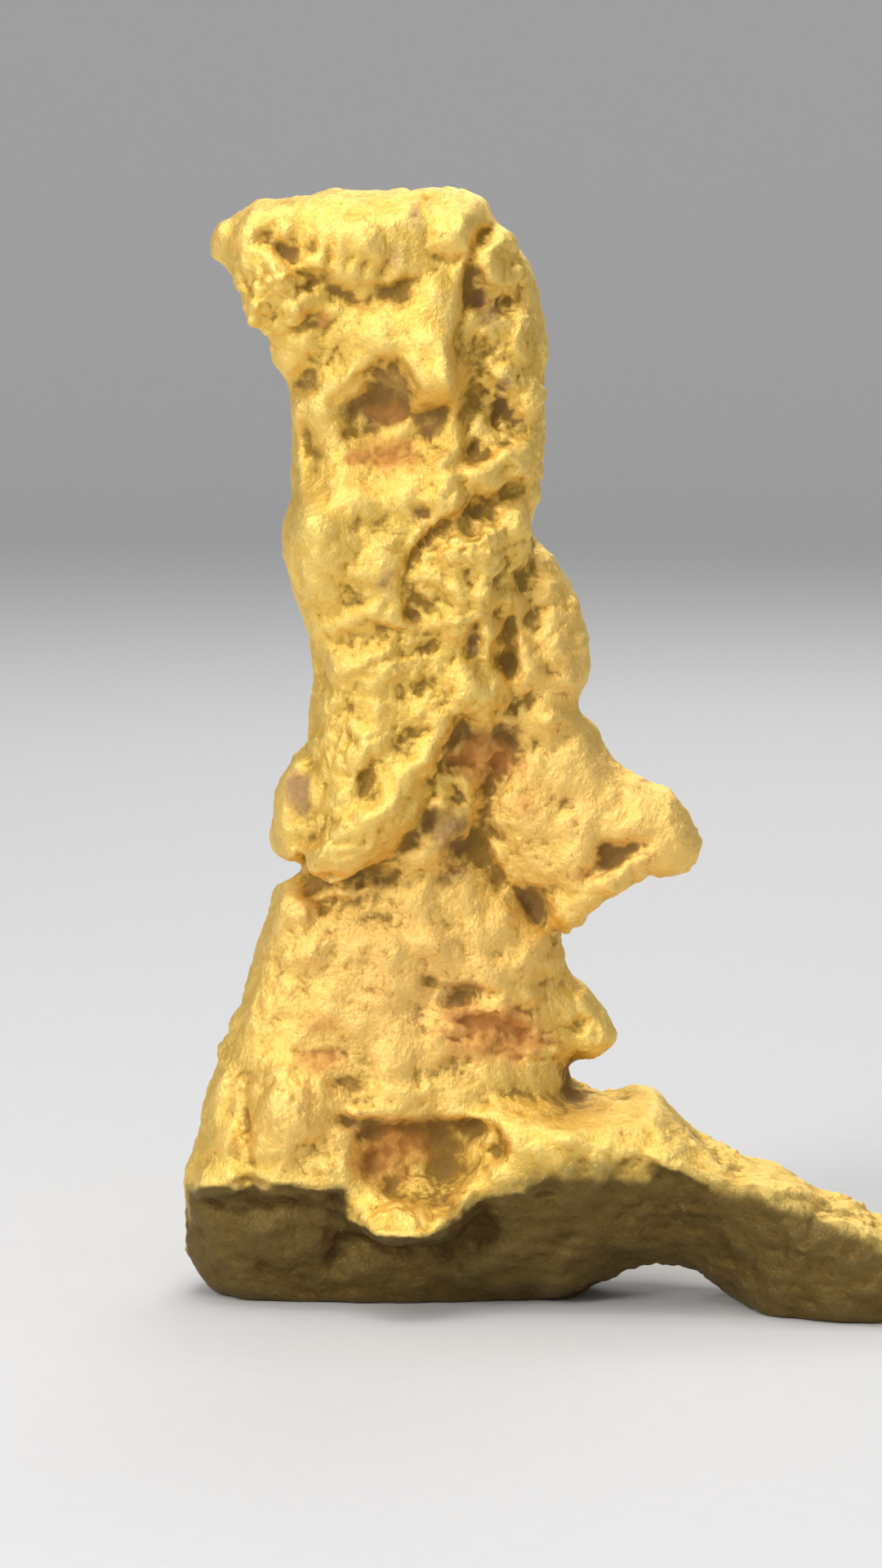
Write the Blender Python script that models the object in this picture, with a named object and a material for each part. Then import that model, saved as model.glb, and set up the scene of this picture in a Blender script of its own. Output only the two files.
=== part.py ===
"""A boot-shaped gold nugget: an upright leg on a heel, a long toe, two side spurs and the hollows between.

Metres, +Z up. X runs along the foot towards the toe, and -Y is the front. The origin is on the worn flat
under the heel, which the nugget stands on. Sizes in the tables below are millimetres.
"""

import math
import random

import bmesh
import bpy
import numpy as np
from mathutils import Matrix, Vector, noise
from mathutils.bvhtree import BVHTree

MM = 0.001
FRONT, BACK = -1, 1

# How fine each stage of the mesh is.
RING_POINTS = 32
FUSE_VOXEL = 1.5
SMOOTH_PASSES = 3
SMOOTH_FACTOR = 0.5
FACES_KEPT = 9700

# How full the cuts across each main form are: 2 is an oval, more is squarer.
LEG_FULLNESS = 2.9
HEEL_FULLNESS = 2.8
SPUR_FULLNESS = 2.3

# The leg, as level cuts: height, left edge, right edge, front, back.
LEG = (
    (271.0, -23, 13, -10, 9),
    (269.0, -31, 19.5, -17, 15),
    (264.0, -34, 20.5, -21, 19),
    (258.5, -36, 26, -22, 21),
    (250.5, -36, 31.5, -22, 22),
    (239.5, -34, 32.5, -21, 22),
    (231.5, -31.5, 33.5, -20, 22),
    (225.5, -28.5, 33, -19, 21),
    (215.0, -28.5, 33, -18, 20),
    (205.0, -28, 33, -19, 19),
    (195.0, -28, 31, -22, 18),
    (187.0, -30.5, 29.5, -24, 18),
    (179.0, -29.5, 28, -24, 19),
    (171.0, -26.5, 27, -22, 19),
    (163.0, -23, 26, -20, 19),
    (153.0, -23, 25.5, -21, 19),
    (142.5, -22.5, 24.5, -21, 18),
    (132.5, -23.5, 22, -21, 17),
    (122.5, -26, 18, -22, 16),
    (114.0, -25, 14, -20, 15),
    (106.0, -21, 12, -14, 12),
)

# The ankle and the heel block, cut the same way.
HEEL = (
    (114.0, -20, 24, -8, 12),
    (106.0, -26, 29, -12, 14),
    (101.0, -29, 32, -13, 16),
    (94.0, -35, 35, -15, 18),
    (86.0, -38, 38, -16, 19),
    (77.0, -39.5, 39, -17, 20),
    (68.0, -43.6, 39, -18, 21),
    (58.0, -46.5, 39, -20, 22),
    (48.0, -49.7, 38, -23, 23),
    (38.0, -53, 36, -26, 24),
    (30.0, -55, 34, -29, 25),
    (21.0, -55, 33, -25, 25),
    (9.5, -54.5, 32, -18, 24),
    (3.0, -50.5, 32, -15.5, 21),
    (-2.0, -44, 32, -14.5, 18),
)

# The foot, as upright wedges from heel to toe: distance along X; heights of the sole, the crest and the top;
# then front edge of the sole, front of the crest, and back. The crest stands out furthest.
FOOT = (
    (-14.0, -2, 30, 56, -14, -29, 22),
    (4.0, -2, 33, 57, -15, -32, 22),
    (20.0, -2, 39, 56, -16, -33, 21),
    (36.0, -1, 42, 53.5, -17, -34, 19),
    (44.0, 2, 41, 52, -17, -34, 17),
    (52.0, 7, 39.5, 52, -17, -34, 15),
    (61.0, 9, 38, 53, -16, -34, 13),
    (65.0, 9, 37, 47.5, -17, -34, 12),
    (70.0, 8, 35, 41, -18, -35, 9),
    (78.0, 3, 32.5, 38, -22, -36, 6),
    (84.0, -3, 31, 36.5, -28, -38, 4),
    (90.0, -5, 29, 36, -33, -40, 2),
    (95.0, -5, 27, 34, -35, -42, 0),
    (100.0, -5, 24, 28.5, -37, -43, -3),
    (110.0, -5, 20, 26, -39, -44, -8),
    (120.0, -4, 15, 21.5, -38, -43, -13),
    (126.5, -3, 10, 15, -34, -38, -18),
    (129.5, -1, 6, 10, -30, -34, -23),
)
CORNER_SHARE = 0.2  # how much of each side the rounding of a wedge's corners takes
CORNER_ROUNDINGS = 2
HEEL_BEVEL = 3.0  # how far the sole stops short of the back
CREST_FALL = 8.0  # how far behind the crest the front slope ends
CREST_SHARE = 1 / 3  # how much of the crest's height that end keeps
TOP_BEVEL = 5.0  # how far the top stops short of the back

# The upright lobe on the leg's right side, as level cuts.
SIDE_LOBE = (
    (184.0, 27, 33.5, -4, 8),
    (178.0, 23, 38.5, -8, 11),
    (171.0, 21, 43, -10, 13),
    (163.0, 20, 44.5, -12, 14),
    (153.0, 19, 44, -12, 14),
    (146.0, 18, 41.5, -12, 13),
    (138.0, 14, 43, -12, 12),
)

# Cuts across the spurs: one edge (x, z), the other edge (x, z), front, back.
WING = (
    ((41, 146), (16, 128), -11, 13),
    ((45.5, 141.5), (18, 115), -13, 13),
    ((51.5, 132), (24, 102), -15, 12),
    ((58.5, 127.2), (34, 92), -16, 10),
    ((65, 125.5), (47, 100), -16, 7),
    ((68.5, 121), (56, 105), -15, 3),
    ((69.8, 115.8), (60.5, 106.5), -13, 0),
    ((69.3, 111.5), (63.5, 106.2), -10, -3),
)
SMALL_SPUR = (
    ((38, 80), (31, 63), -10, 12),
    ((44, 76.5), (36, 60.5), -9, 10),
    ((48.5, 71), (41.5, 59.5), -8, 6),
    ((50, 65), (46.5, 59), -7, 3),
)

# Rounded lumps grown on the main forms: centre, half sizes, turn about Y in degrees.
LUMPS = {
    "knob_tip": ((-43, -6, 258), (4.6, 6, 4.8), 0),
    "knob_slope": ((-34.5, -5, 261.5), (12, 10, 7), -23),
    "knob": ((-36, -9, 255), (7.5, 10, 7.5), 0),
    "knob_end": ((-44.5, -7, 262), (3.4, 4.5, 3.6), 0),
    "knob_ball": ((-31, -17, 251.5), (6, 6, 6), 0),
    "knob_bead_1": ((-36, -16, 244.5), (3.4, 4.5, 3.4), 0),
    "knob_bead_2": ((-28, -18, 243.5), (3.4, 4.5, 3.2), 0),
    "knob_bead_3": ((-22.5, -19, 246.5), (2.8, 4, 3.2), 0),
    "side_bead": ((21.5, -13, 259), (3.6, 5, 3.6), 0),
    "knob_low": ((-32, -12, 246.5), (7.6, 9, 7.6), 0),
    "knob_root": ((-26, -10, 233.5), (6.5, 9, 7), 0),
    "brow_corner": ((11, -14, 260.5), (9, 9, 8), 0),
    "nose": ((6, -19.5, 225), (6, 6, 6.5), 0),
    "hollow_lip": ((0, -26, 22.5), (15, 9, 5.5), 4),
    "lip_of_wing_1": ((37.5, -9, 95), (4, 6, 3.4), 0),
    "lip_of_wing_2": ((43, -10, 98.5), (3.6, 6, 3.4), 0),
    "lip_of_wing_3": ((49, -11, 102.3), (3.2, 6, 3.2), 0),
    "lip_of_wing_4": ((54, -10, 104.5), (2.8, 5, 2.8), 0),
    "shoulder": ((-19, -10, 184), (11, 15, 16), -8),
    "tongue": ((-10, -15, 118), (19, 9, 8), -42),
    "left_lobe": ((-27, -3, 121), (7, 10, 14.5), 12),
    "ankle_bone": ((-29, -12, 44), (13, 15, 20), 10),
    "ankle_corner": ((-27, -3, 94), (8, 11, 10), 0),
    "back_leg": ((4, 12, 200), (19, 12, 24), 15),
    "back_ankle": ((-6, 12, 84), (24, 13, 20), -20),
    "back_knob": ((-22, 12, 246), (11, 9, 13), 0),
    "back_hip": ((8, 11, 148), (14, 11, 19), 0),
    "hook": ((63.4, -8, 112.8), (7.2, 8, 8.6), 20),
}

# Hollows cut in: centre, half sizes, turn about Y, then tilt about X (upwards into the metal), in degrees.
HOLLOWS = {
    "arch_cave": ((-8, -24, 214.5), (11.5, 13, 8.5), -6, 34),
    "arch_cave_middle": ((2, -25, 212.5), (8, 11, 4.5), 8, 20),
    "arch_cave_side": ((10, -24, 215), (8, 11, 6.5), 5, 20),
    "side_recess": ((19, -21, 249), (4.5, 6.5, 9), 12, 0),
    "centre_hollow": ((9.5, -20, 116), (5.5, 7, 9), -24, 10),
    "centre_hollow_up": ((20, -22, 135), (12, 8, 7.5), -20, 10),
    "hook_hollow": ((50.5, -18, 111), (8.5, 6.5, 3.8), -32, 10),
    "hook_notch": ((58.3, -9, 104.5), (1.8, 12, 4), 15, 0),
    "foot_hollow": ((3, -33, 36.5), (20.5, 18, 10), -4, 24),
    "foot_hollow_right": ((13, -34, 39.5), (12, 16.5, 7.5), 0, 20),
    "foot_hollow_low": ((-7, -33, 37), (10, 15, 10), 0, 20),
    "ankle_split": ((-33, -12, 106), (8, 22, 2.2), 0, 0),
    "sole_arch": ((61, -18, -2), (17, 34, 9), 0, 0),
    "back_cave": ((-8, 26, 166), (13, 12, 9), 20, -15),
    "back_hollow": ((10, 30, 52), (20, 15, 14), -10, -10),
    "back_pit": ((6, 27, 234), (9, 10, 12), 0, -10),
}

# Shallow dents (+) and swellings (-) pressed along Y: centre (x, z), half sizes, depth, turn in degrees.
FRONT_DENTS = (
    ((10, 217), (8, 6.5), 2.0, 10),
    ((-5, 209), (9, 5), 2.5, 5),
    ((-12, 247), (10, 3), 2.0, 6),
    ((5, 234), (8, 7), -2.5, 0),
    ((-30, 257.5), (5.5, 3.2), 2.0, -25),
    ((-22, 251.5), (4, 4), 2.5, 0),
    ((25, 246), (7, 16), 2.5, 5),
    ((24, 218), (6, 12), 1.5, 0),
    ((6, 176), (6, 13), 3.0, -40),
    ((6, 152), (6, 12), 2.6, -35),
    ((-8, 164), (9, 2.5), 1.2, 4),
    ((19, 135), (12, 11), 5.0, 0),
    ((-10, 97), (11, 8), 3.5, 0),
    ((14, 76), (9, 3.4), 3.2, 0),
    ((22, 69), (11, 4), 3.4, -10),
    ((-38, 24), (14, 4), 2.5, 0),
    ((-46, 60), (5, 20), 2.0, 12),
    ((-12, 262), (14, 9), -1.6, 0),
    ((-3, 238.5), (17, 7), -2.4, 8),
    ((3, 226), (5, 5), -2.6, 0),
    ((-12, 156), (13, 5), -2.0, 12),
    ((-10, 138), (10, 7), -2.0, 30),
    ((4, 66), (16, 8), -1.5, 0),
)
BACK_DENTS = (
    ((14, 215), (12, 9), 4.0, 20),
    ((-16, 214), (9, 16), 3.0, 0),
    ((-14, 188), (10, 7), 3.0, -30),
    ((16, 176), (9, 13), 3.5, 20),
    ((-6, 128), (16, 6), 4.5, -15),
    ((22, 104), (14, 9), 4.0, 25),
    ((-30, 62), (12, 14), 3.5, 0),
    ((-20, 24), (18, 9), 3.0, 5),
    ((52, 30), (14, 9), 3.0, 15),
    ((84, 22), (16, 7), 2.5, 20),
    ((0, 100), (18, 7), -2.5, 10),
    ((-4, 62), (16, 6), -2.5, -8),
    ((34, 26), (10, 10), -2.0, 0),
)

# Ridges (+) and grooves (-) drawn along a path of (x, z) points: half width, height, path.
FRONT_RIDGES = (
    (7.0, 1.6, ((-26, 194), (-12, 198), (8, 202), (23, 209))),
    (6.0, 3.0, ((-24, 218), (-16, 226.5), (-6, 232), (7, 234), (11, 227))),
    (4.0, 3.2, ((-15, 22.5), (-4, 20.5), (8, 22), (15, 27))),
    (3.0, 2.0, ((24, 264), (21, 250), (14, 236), (13, 222))),
    (3.6, 2.2, ((8, 137), (-6, 124), (-21, 111))),
    (3.4, 1.8, ((-20, 166), (-6, 170), (10, 164), (18, 170))),
    (3.0, -4.2, ((22, 178), (23.5, 160), (24, 146))),
    (2.6, -3.6, ((-30, 106), (-20, 103.5), (-8, 104.5), (1, 109))),
    (2.2, -1.5, ((-24, 219), (-23.5, 209), (-22.5, 201))),
    (2.6, -2.4, ((-36, 56), (-40, 40), (-38, 28))),
    (3.0, -2.2, ((26, 108), (31, 98), (40, 90))),
)
BACK_RIDGES = (
    (5.0, 2.6, ((-30, 228), (-12, 222), (4, 208), (12, 190))),
    (4.0, 2.4, ((24, 200), (10, 180), (-12, 176))),
    (4.0, -3.2, ((-24, 150), (-6, 142), (14, 146), (30, 158))),
    (5.0, 2.6, ((-40, 40), (-22, 48), (0, 40), (26, 36), (60, 28))),
    (3.0, -2.6, ((-34, 90), (-20, 76), (-22, 58))),
)

# Ledges in the front: how far the low side is set back, how wide that side is, and the path of the edge.
# The low side is on the left as one goes along the path.
EDGE_WIDTH = 2.2
EDGE_END = 3 * EDGE_WIDTH  # over what length a ledge dies out past its ends
FRONT_LEDGES = (
    (5.5, 26.0, ((22, 272), (19, 262), (14, 252), (12, 239), (11.5, 226), (14, 212))),
    (2.5, 8.0, ((-1, 251), (-9, 249), (-17, 250.5), (-24, 254))),
    (4.5, 12.0, ((12, 142), (8, 134), (3.5, 125), (-1.5, 116), (-8, 109), (-15, 106), (-28, 106))),
    (5.0, 13.0, ((16, 24), (9, 19.5), (-4, 17), (-16, 19))),
    (4.0, 13.0, ((-15, 24), (-26, 27), (-38, 28), (-50, 26))),
    (4.0, 9.0, ((40, 92), (33, 95), (28, 103), (22, 108))),
    (3.5, 9.0, ((24, 200), (10, 194), (4, 188), (-2, 176), (2, 166))),
)
# Clusters of small rounded nodules: side, centre (x, z), half sizes, how many, smallest and largest radius.
NODULES = (
    (FRONT, (-33, 250), (11, 16), 26, 2.2, 3.8),
    (FRONT, (25, 236), (8, 30), 30, 2.0, 3.4),
    (FRONT, (14, 184), (14, 20), 30, 2.0, 3.6),
    (FRONT, (2, 146), (18, 16), 20, 2.0, 3.4),
    (FRONT, (36, 160), (7, 18), 12, 2.0, 3.2),
    (FRONT, (14, 82), (20, 16), 16, 2.0, 3.2),
    (FRONT, (50, 104), (9, 6), 8, 1.8, 2.6),
    (BACK, (-10, 236), (18, 22), 26, 2.2, 4.0),
    (BACK, (18, 180), (14, 30), 26, 2.0, 3.6),
    (BACK, (-2, 96), (26, 22), 26, 2.2, 4.0),
    (BACK, (40, 32), (34, 14), 18, 2.0, 3.6),
)
NODULE_SUNK = 0.25  # how far each sits below the surface, as a share of its radius
NODULE_STRETCH = (0.85, 1.3)  # least and most
NODULE_SEED = 4
CLEAR_OF_ALL = 90.0  # a distance in front or behind that is outside the metal

# Strokes are pressed in full where the surface faces them this much, and not at all where it looks sideways.
FACING = 0.5
SIDEWAYS = 0.05

# The nugget's own unevenness: size of the swells, how far they move the surface, seed offset.
SWELLS = ((17.0, 1.6, 3.0), (7.5, 1.4, 11.0))
# How far the edges of the dents, ridges and ledges wander, and over what length.
WANDER = 3.0
WANDER_LENGTH = 13.0
# How rough the walls of the hollows are, and over what length.
WALL_ROUGHNESS = 2.2
WALL_LENGTH = 8.0
# Sets how the edges and walls wander, so that every run makes the same nugget.
NOISE_SEED = 3

# The block that cuts the sole flat: its sizes, and its middle along X. Its top is the plane z = 0.
GROUND_BLOCK = (400.0, 300.0, 40.0)
GROUND_MIDDLE = 30.0


def wander(point, length, amount):
    """How far an uneven surface strays at a point: the same at every run."""
    return noise.noise_vector(point / length) * amount


def loft(mesh, rings):
    """One closed form through rings that have equally many points."""
    rings = [[mesh.verts.new(point * MM) for point in ring] for ring in rings]
    faces = [mesh.faces.new(rings[0]), mesh.faces.new(rings[-1])]
    for low, high in zip(rings, rings[1:]):
        for step in range(len(low)):
            after = (step + 1) % len(low)
            faces.append(mesh.faces.new((low[step], low[after], high[after], high[step])))
    bmesh.ops.recalc_face_normals(mesh, faces=faces)


def full_ring(edge, far_edge, front, back, fullness):
    """A rounded cut between two (x, z) edges; a higher fullness makes it squarer."""
    middle = Vector(((edge[0] + far_edge[0]) / 2, (front + back) / 2, (edge[1] + far_edge[1]) / 2))
    half_across = Vector(((far_edge[0] - edge[0]) / 2, 0, (far_edge[1] - edge[1]) / 2))
    half_deep = Vector((0, (back - front) / 2, 0))
    ring = []
    for step in range(RING_POINTS):
        turn = 2 * math.pi * step / RING_POINTS
        across = math.copysign(abs(math.cos(turn)) ** (2 / fullness), math.cos(turn))
        deep = math.copysign(abs(math.sin(turn)) ** (2 / fullness), math.sin(turn))
        ring.append(middle + half_across * across + half_deep * deep)
    return ring


def level_rings(table, fullness):
    """Cuts at one height each, from left edge to right edge."""
    return [full_ring((left, z), (right, z), front, back, fullness) for z, left, right, front, back in table]


def spur_rings(table, fullness):
    return [full_ring(edge, far_edge, front, back, fullness) for edge, far_edge, front, back in table]


def wedge_ring(x, sole, crest, top, sole_front, crest_front, back):
    """An upright cut through the foot: flat top, standing crest, and a front that falls back to the sole."""
    slope_end = crest * CREST_SHARE + top * (1 - CREST_SHARE)
    corners = ((back, (sole + top) / 2), (back - HEEL_BEVEL, sole), (sole_front, sole))
    corners += ((crest_front, crest), (crest_front + CREST_FALL, slope_end), (back - TOP_BEVEL, top))
    for _ in range(CORNER_ROUNDINGS):
        pairs = list(zip(corners, corners[1:] + corners[:1]))
        corners = tuple(
            (a[0] + (b[0] - a[0]) * share, a[1] + (b[1] - a[1]) * share)
            for a, b in pairs
            for share in (CORNER_SHARE, 1 - CORNER_SHARE)
        )
    return [Vector((x, y, z)) for y, z in corners]


def ball(mesh, centre, half_sizes, turn=0.0, tilt=0.0, rounds=4):
    """A rounded ellipsoid, tilted about X and then turned about Y."""
    size = Matrix.Diagonal((*half_sizes, 1))
    tilted = Matrix.Rotation(math.radians(tilt), 4, "X")
    turned = Matrix.Rotation(math.radians(turn), 4, "Y")
    place = Matrix.Scale(MM, 4) @ Matrix.Translation(centre) @ turned @ tilted @ size
    bmesh.ops.create_icosphere(mesh, subdivisions=rounds, radius=1.0, matrix=place)


def new_object(name, mesh):
    """Turns a bmesh into an object in the scene."""
    data = bpy.data.meshes.new(name)
    mesh.to_mesh(data)
    mesh.free()
    made = bpy.data.objects.new(name, data)
    bpy.context.scene.collection.objects.link(made)
    return made


def cutter(name, mesh):
    """An object that only cuts another one."""
    made = new_object(name, mesh)
    made.hide_render = True
    made.display_type = "WIRE"
    return made


def remesh(target, voxel):
    step = target.modifiers.new("fuse", "REMESH")
    step.mode = "VOXEL"
    step.voxel_size = voxel * MM


def cut(target, tool):
    step = target.modifiers.new("cut_" + tool.name, "BOOLEAN")
    step.operation = "DIFFERENCE"
    step.solver = "EXACT"
    step.object = tool


def apply_modifiers(target):
    """Replaces the object's mesh with what its modifiers make of it."""
    bpy.context.view_layer.update()
    graph = bpy.context.evaluated_depsgraph_get()
    made = bpy.data.meshes.new_from_object(target.evaluated_get(graph))
    target.modifiers.clear()
    target.data = made


def raw_forms():
    """Every main form and lump, overlapping, in one mesh."""
    mesh = bmesh.new()
    loft(mesh, level_rings(LEG, LEG_FULLNESS))
    loft(mesh, level_rings(HEEL, HEEL_FULLNESS))
    loft(mesh, [wedge_ring(*cut_across) for cut_across in FOOT])
    loft(mesh, level_rings(SIDE_LOBE, SPUR_FULLNESS))
    loft(mesh, spur_rings(WING, SPUR_FULLNESS))
    loft(mesh, spur_rings(SMALL_SPUR, SPUR_FULLNESS))
    for centre, half_sizes, turn in LUMPS.values():
        ball(mesh, centre, half_sizes, turn)
    return mesh


def falloff(reach):
    """1 at the middle of a stroke, falling smoothly to 0 where reach is 1."""
    inside = np.clip(1 - reach**2, 0, None)
    return inside**2


def dent_reach(x, z, centre, half_sizes, turn):
    """How far each point is from a dent's centre, as a share of its half sizes."""
    angle = math.radians(turn)
    dx, dz = x - centre[0], z - centre[1]
    along = dx * math.cos(angle) + dz * math.sin(angle)
    across = dz * math.cos(angle) - dx * math.sin(angle)
    return np.hypot(along / half_sizes[0], across / half_sizes[1])


def path_reach(x, z, path, half_width):
    """How far each point is from a path, as a share of the half width."""
    nearest = np.full(len(x), np.inf)
    for (ax, az), (bx, bz) in zip(path, path[1:]):
        length2 = (bx - ax) ** 2 + (bz - az) ** 2
        share = np.clip(((x - ax) * (bx - ax) + (z - az) * (bz - az)) / length2, 0, 1)
        away = np.hypot(x - ax - share * (bx - ax), z - az - share * (bz - az))
        nearest = np.minimum(nearest, away)
    return nearest / half_width


def ledge_reach(x, z, path, width):
    """The share of a ledge's depth at each point: 0 on the high side, 1 just past the edge, then fading."""
    nearest = np.full(len(x), np.inf)
    signed = np.zeros(len(x))
    for (ax, az), (bx, bz) in zip(path, path[1:]):
        length = math.hypot(bx - ax, bz - az)
        share = ((x - ax) * (bx - ax) + (z - az) * (bz - az)) / length**2
        held = np.clip(share, 0, 1)
        away = np.hypot(x - ax - held * (bx - ax), z - az - held * (bz - az))
        left = ((z - az) * (bx - ax) - (x - ax) * (bz - az)) / length
        closer = away < nearest
        nearest = np.where(closer, away, nearest)
        signed = np.where(closer, left, signed)
    past_end = np.sqrt(np.clip(nearest**2 - signed**2, 0, None))
    rise = np.clip(signed / EDGE_WIDTH + 0.5, 0, 1)
    rise = rise * rise * (3 - 2 * rise)
    return rise * falloff(np.clip(signed, 0, None) / width) * falloff(past_end / EDGE_END)


def nodules(target):
    """Grows the small nodules on the surface, each sunk a little into it."""
    surface = bmesh.new()
    surface.from_mesh(target.data)
    tree = BVHTree.FromBMesh(surface)
    chance = random.Random(NODULE_SEED)
    for side, (x, z), (half_x, half_z), count, least, most in NODULES:
        for _ in range(count):
            turn, out = chance.uniform(0, 2 * math.pi), math.sqrt(chance.random())
            across, up = half_x * out * math.cos(turn), half_z * out * math.sin(turn)
            start = Vector((x + across, side * CLEAR_OF_ALL, z + up))
            hit, normal, _, _ = tree.ray_cast(start * MM, Vector((0, -side, 0)))
            radius = chance.uniform(least, most)
            sizes = [radius * chance.uniform(*NODULE_STRETCH) for _ in range(3)]
            if hit:
                centre = hit / MM - normal * radius * NODULE_SUNK
                ball(surface, centre, sizes, chance.uniform(0, 180), rounds=2)
    surface.to_mesh(target.data)
    surface.free()


def sculpt(data):
    """Presses the dents and ridges into both faces, then adds the uneven swells."""
    count = len(data.vertices)
    points = np.empty(count * 3)
    normals = np.empty(count * 3)
    data.vertices.foreach_get("co", points)
    data.vertex_normals.foreach_get("vector", normals)
    points, normals = points.reshape(-1, 3) / MM, normals.reshape(-1, 3)
    strayed = points + np.array([wander(Vector(p), WANDER_LENGTH, WANDER) for p in points])
    x, z = strayed[:, 0], strayed[:, 2]
    push = np.zeros(count)
    for side, dents, ridges in ((FRONT, FRONT_DENTS, FRONT_RIDGES), (BACK, BACK_DENTS, BACK_RIDGES)):
        facing = np.clip((normals[:, 1] * side - SIDEWAYS) / (FACING - SIDEWAYS), 0, 1)
        for centre, half_sizes, depth, turn in dents:
            push -= side * depth * facing * falloff(dent_reach(x, z, centre, half_sizes, turn))
        for half_width, height, path in ridges:
            push += side * height * facing * falloff(path_reach(x, z, path, half_width))
        if side == FRONT:
            for depth, width, path in FRONT_LEDGES:
                push += depth * facing * ledge_reach(x, z, path, width)
    lift = np.zeros(count)
    for size, height, seed in SWELLS:
        offset = Vector((seed, seed, seed))
        lift += height * np.array([noise.noise(Vector(p) / size + offset) for p in points])
    points = points + normals * lift[:, None]
    points[:, 1] += push
    data.vertices.foreach_set("co", (points * MM).ravel())
    data.update()


def gold():
    """Warm native gold."""
    made = bpy.data.materials.new("native_gold")
    made.use_nodes = True
    surface = made.node_tree.nodes["Principled BSDF"]
    surface.inputs["Base Color"].default_value = (0.83, 0.55, 0.16, 1)
    surface.inputs["Metallic"].default_value = 1.0
    surface.inputs["Roughness"].default_value = 0.42
    return made


def worn_sole():
    """Everything below the plane that the nugget stands on."""
    mesh = bmesh.new()
    bmesh.ops.create_cube(mesh, size=1.0)
    bmesh.ops.scale(mesh, vec=Vector(GROUND_BLOCK) * MM, verts=mesh.verts)
    bmesh.ops.translate(mesh, vec=Vector((GROUND_MIDDLE, 0, -GROUND_BLOCK[2] / 2)) * MM, verts=mesh.verts)
    return cutter("below_the_sole", mesh)


def build():
    for old in list(bpy.data.objects):
        bpy.data.objects.remove(old)
    noise.seed_set(NOISE_SEED)
    nugget = new_object("nugget", raw_forms())
    remesh(nugget, FUSE_VOXEL)
    for name, (centre, half_sizes, turn, tilt) in HOLLOWS.items():
        mesh = bmesh.new()
        ball(mesh, centre, half_sizes, turn, tilt)
        for vertex in mesh.verts:
            vertex.co += wander(vertex.co / MM, WALL_LENGTH, WALL_ROUGHNESS) * MM
        cut(nugget, cutter(name, mesh))
    apply_modifiers(nugget)
    nodules(nugget)
    remesh(nugget, FUSE_VOXEL)
    soften = nugget.modifiers.new("soften", "SMOOTH")
    soften.factor = SMOOTH_FACTOR
    soften.iterations = SMOOTH_PASSES
    apply_modifiers(nugget)
    sculpt(nugget.data)
    thin = nugget.modifiers.new("thin", "DECIMATE")
    thin.ratio = FACES_KEPT / (2 * len(nugget.data.polygons))
    cut(nugget, worn_sole())
    nugget.data.materials.append(gold())


build()
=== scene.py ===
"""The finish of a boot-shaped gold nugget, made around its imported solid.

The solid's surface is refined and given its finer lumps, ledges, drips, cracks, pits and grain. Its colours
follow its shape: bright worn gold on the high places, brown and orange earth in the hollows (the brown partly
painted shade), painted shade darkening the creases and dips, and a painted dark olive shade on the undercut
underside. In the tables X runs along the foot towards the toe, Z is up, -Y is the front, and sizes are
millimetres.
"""

import math

import bmesh
import bpy
import numpy as np
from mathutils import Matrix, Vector, noise
from mathutils.bvhtree import BVHTree
from mathutils.kdtree import KDTree


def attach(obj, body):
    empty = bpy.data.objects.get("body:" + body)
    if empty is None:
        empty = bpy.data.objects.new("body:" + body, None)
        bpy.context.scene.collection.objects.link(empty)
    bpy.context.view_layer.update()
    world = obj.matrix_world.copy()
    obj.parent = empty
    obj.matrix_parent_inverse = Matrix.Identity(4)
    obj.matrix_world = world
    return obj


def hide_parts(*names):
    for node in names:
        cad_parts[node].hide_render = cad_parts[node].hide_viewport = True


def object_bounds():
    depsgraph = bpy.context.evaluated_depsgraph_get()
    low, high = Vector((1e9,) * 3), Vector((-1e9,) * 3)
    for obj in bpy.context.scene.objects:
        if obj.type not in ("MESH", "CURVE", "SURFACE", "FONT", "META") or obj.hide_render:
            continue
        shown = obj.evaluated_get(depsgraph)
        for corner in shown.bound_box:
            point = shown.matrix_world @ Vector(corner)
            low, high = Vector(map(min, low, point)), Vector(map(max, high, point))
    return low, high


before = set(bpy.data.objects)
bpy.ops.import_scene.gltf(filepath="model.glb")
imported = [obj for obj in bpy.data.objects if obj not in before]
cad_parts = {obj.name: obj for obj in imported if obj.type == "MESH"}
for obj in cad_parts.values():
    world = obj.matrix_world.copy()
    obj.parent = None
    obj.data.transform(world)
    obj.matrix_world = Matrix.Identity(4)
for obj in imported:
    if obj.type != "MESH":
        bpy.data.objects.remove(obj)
cad_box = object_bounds()

MM = 0.001
FRONT, BACK = -1, 1
NOT_FACING, FACING = 0.05, 0.5  # how much a surface looks to a side that it isn't, and wholly is, part of
NOISE_SEED = 3  # sets how the edges of strokes wander

# How fine each stage of the surface is.
FIRST_VOXEL = 1.0
FUSE_VOXEL = 0.72
MOST_TRIANGLES = 194000
PAST_SOLID = 0.5  # how far past the solid the surface may reach
# How the surroundings are looked at from a coarse copy, to find the hollows.
HOLLOW_VOXEL = 2.2
HOLLOW_RAYS = 40
HOLLOW_START = 0.6  # how far off the surface the rays start
HOLLOW_REACH = 60.0
HOLLOW_SKY = (0.86, 0.6)  # the share of open sky where a hollow begins, and how much less makes it full
SKY_POINTS, SKY_CLOSE, SKY_PASSES = 4, 0.2, 4  # how its findings are carried to the fine surface
DIP_PASSES = 16
FULL_DIP = 2.2
# How often the surface is averaged to find small and broad creases, and its slope.
SMALL_PASSES, BROAD_PASSES, SLOPE_PASSES = 4, 36, 12
# Small and broad creases, and the same for worn high places: the depth that is full, and its share.
CREASES = ((0.24, 0.5), (1.0, 0.75))
WEAR = ((0.25, 0.5), (0.9, 0.6))

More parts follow.
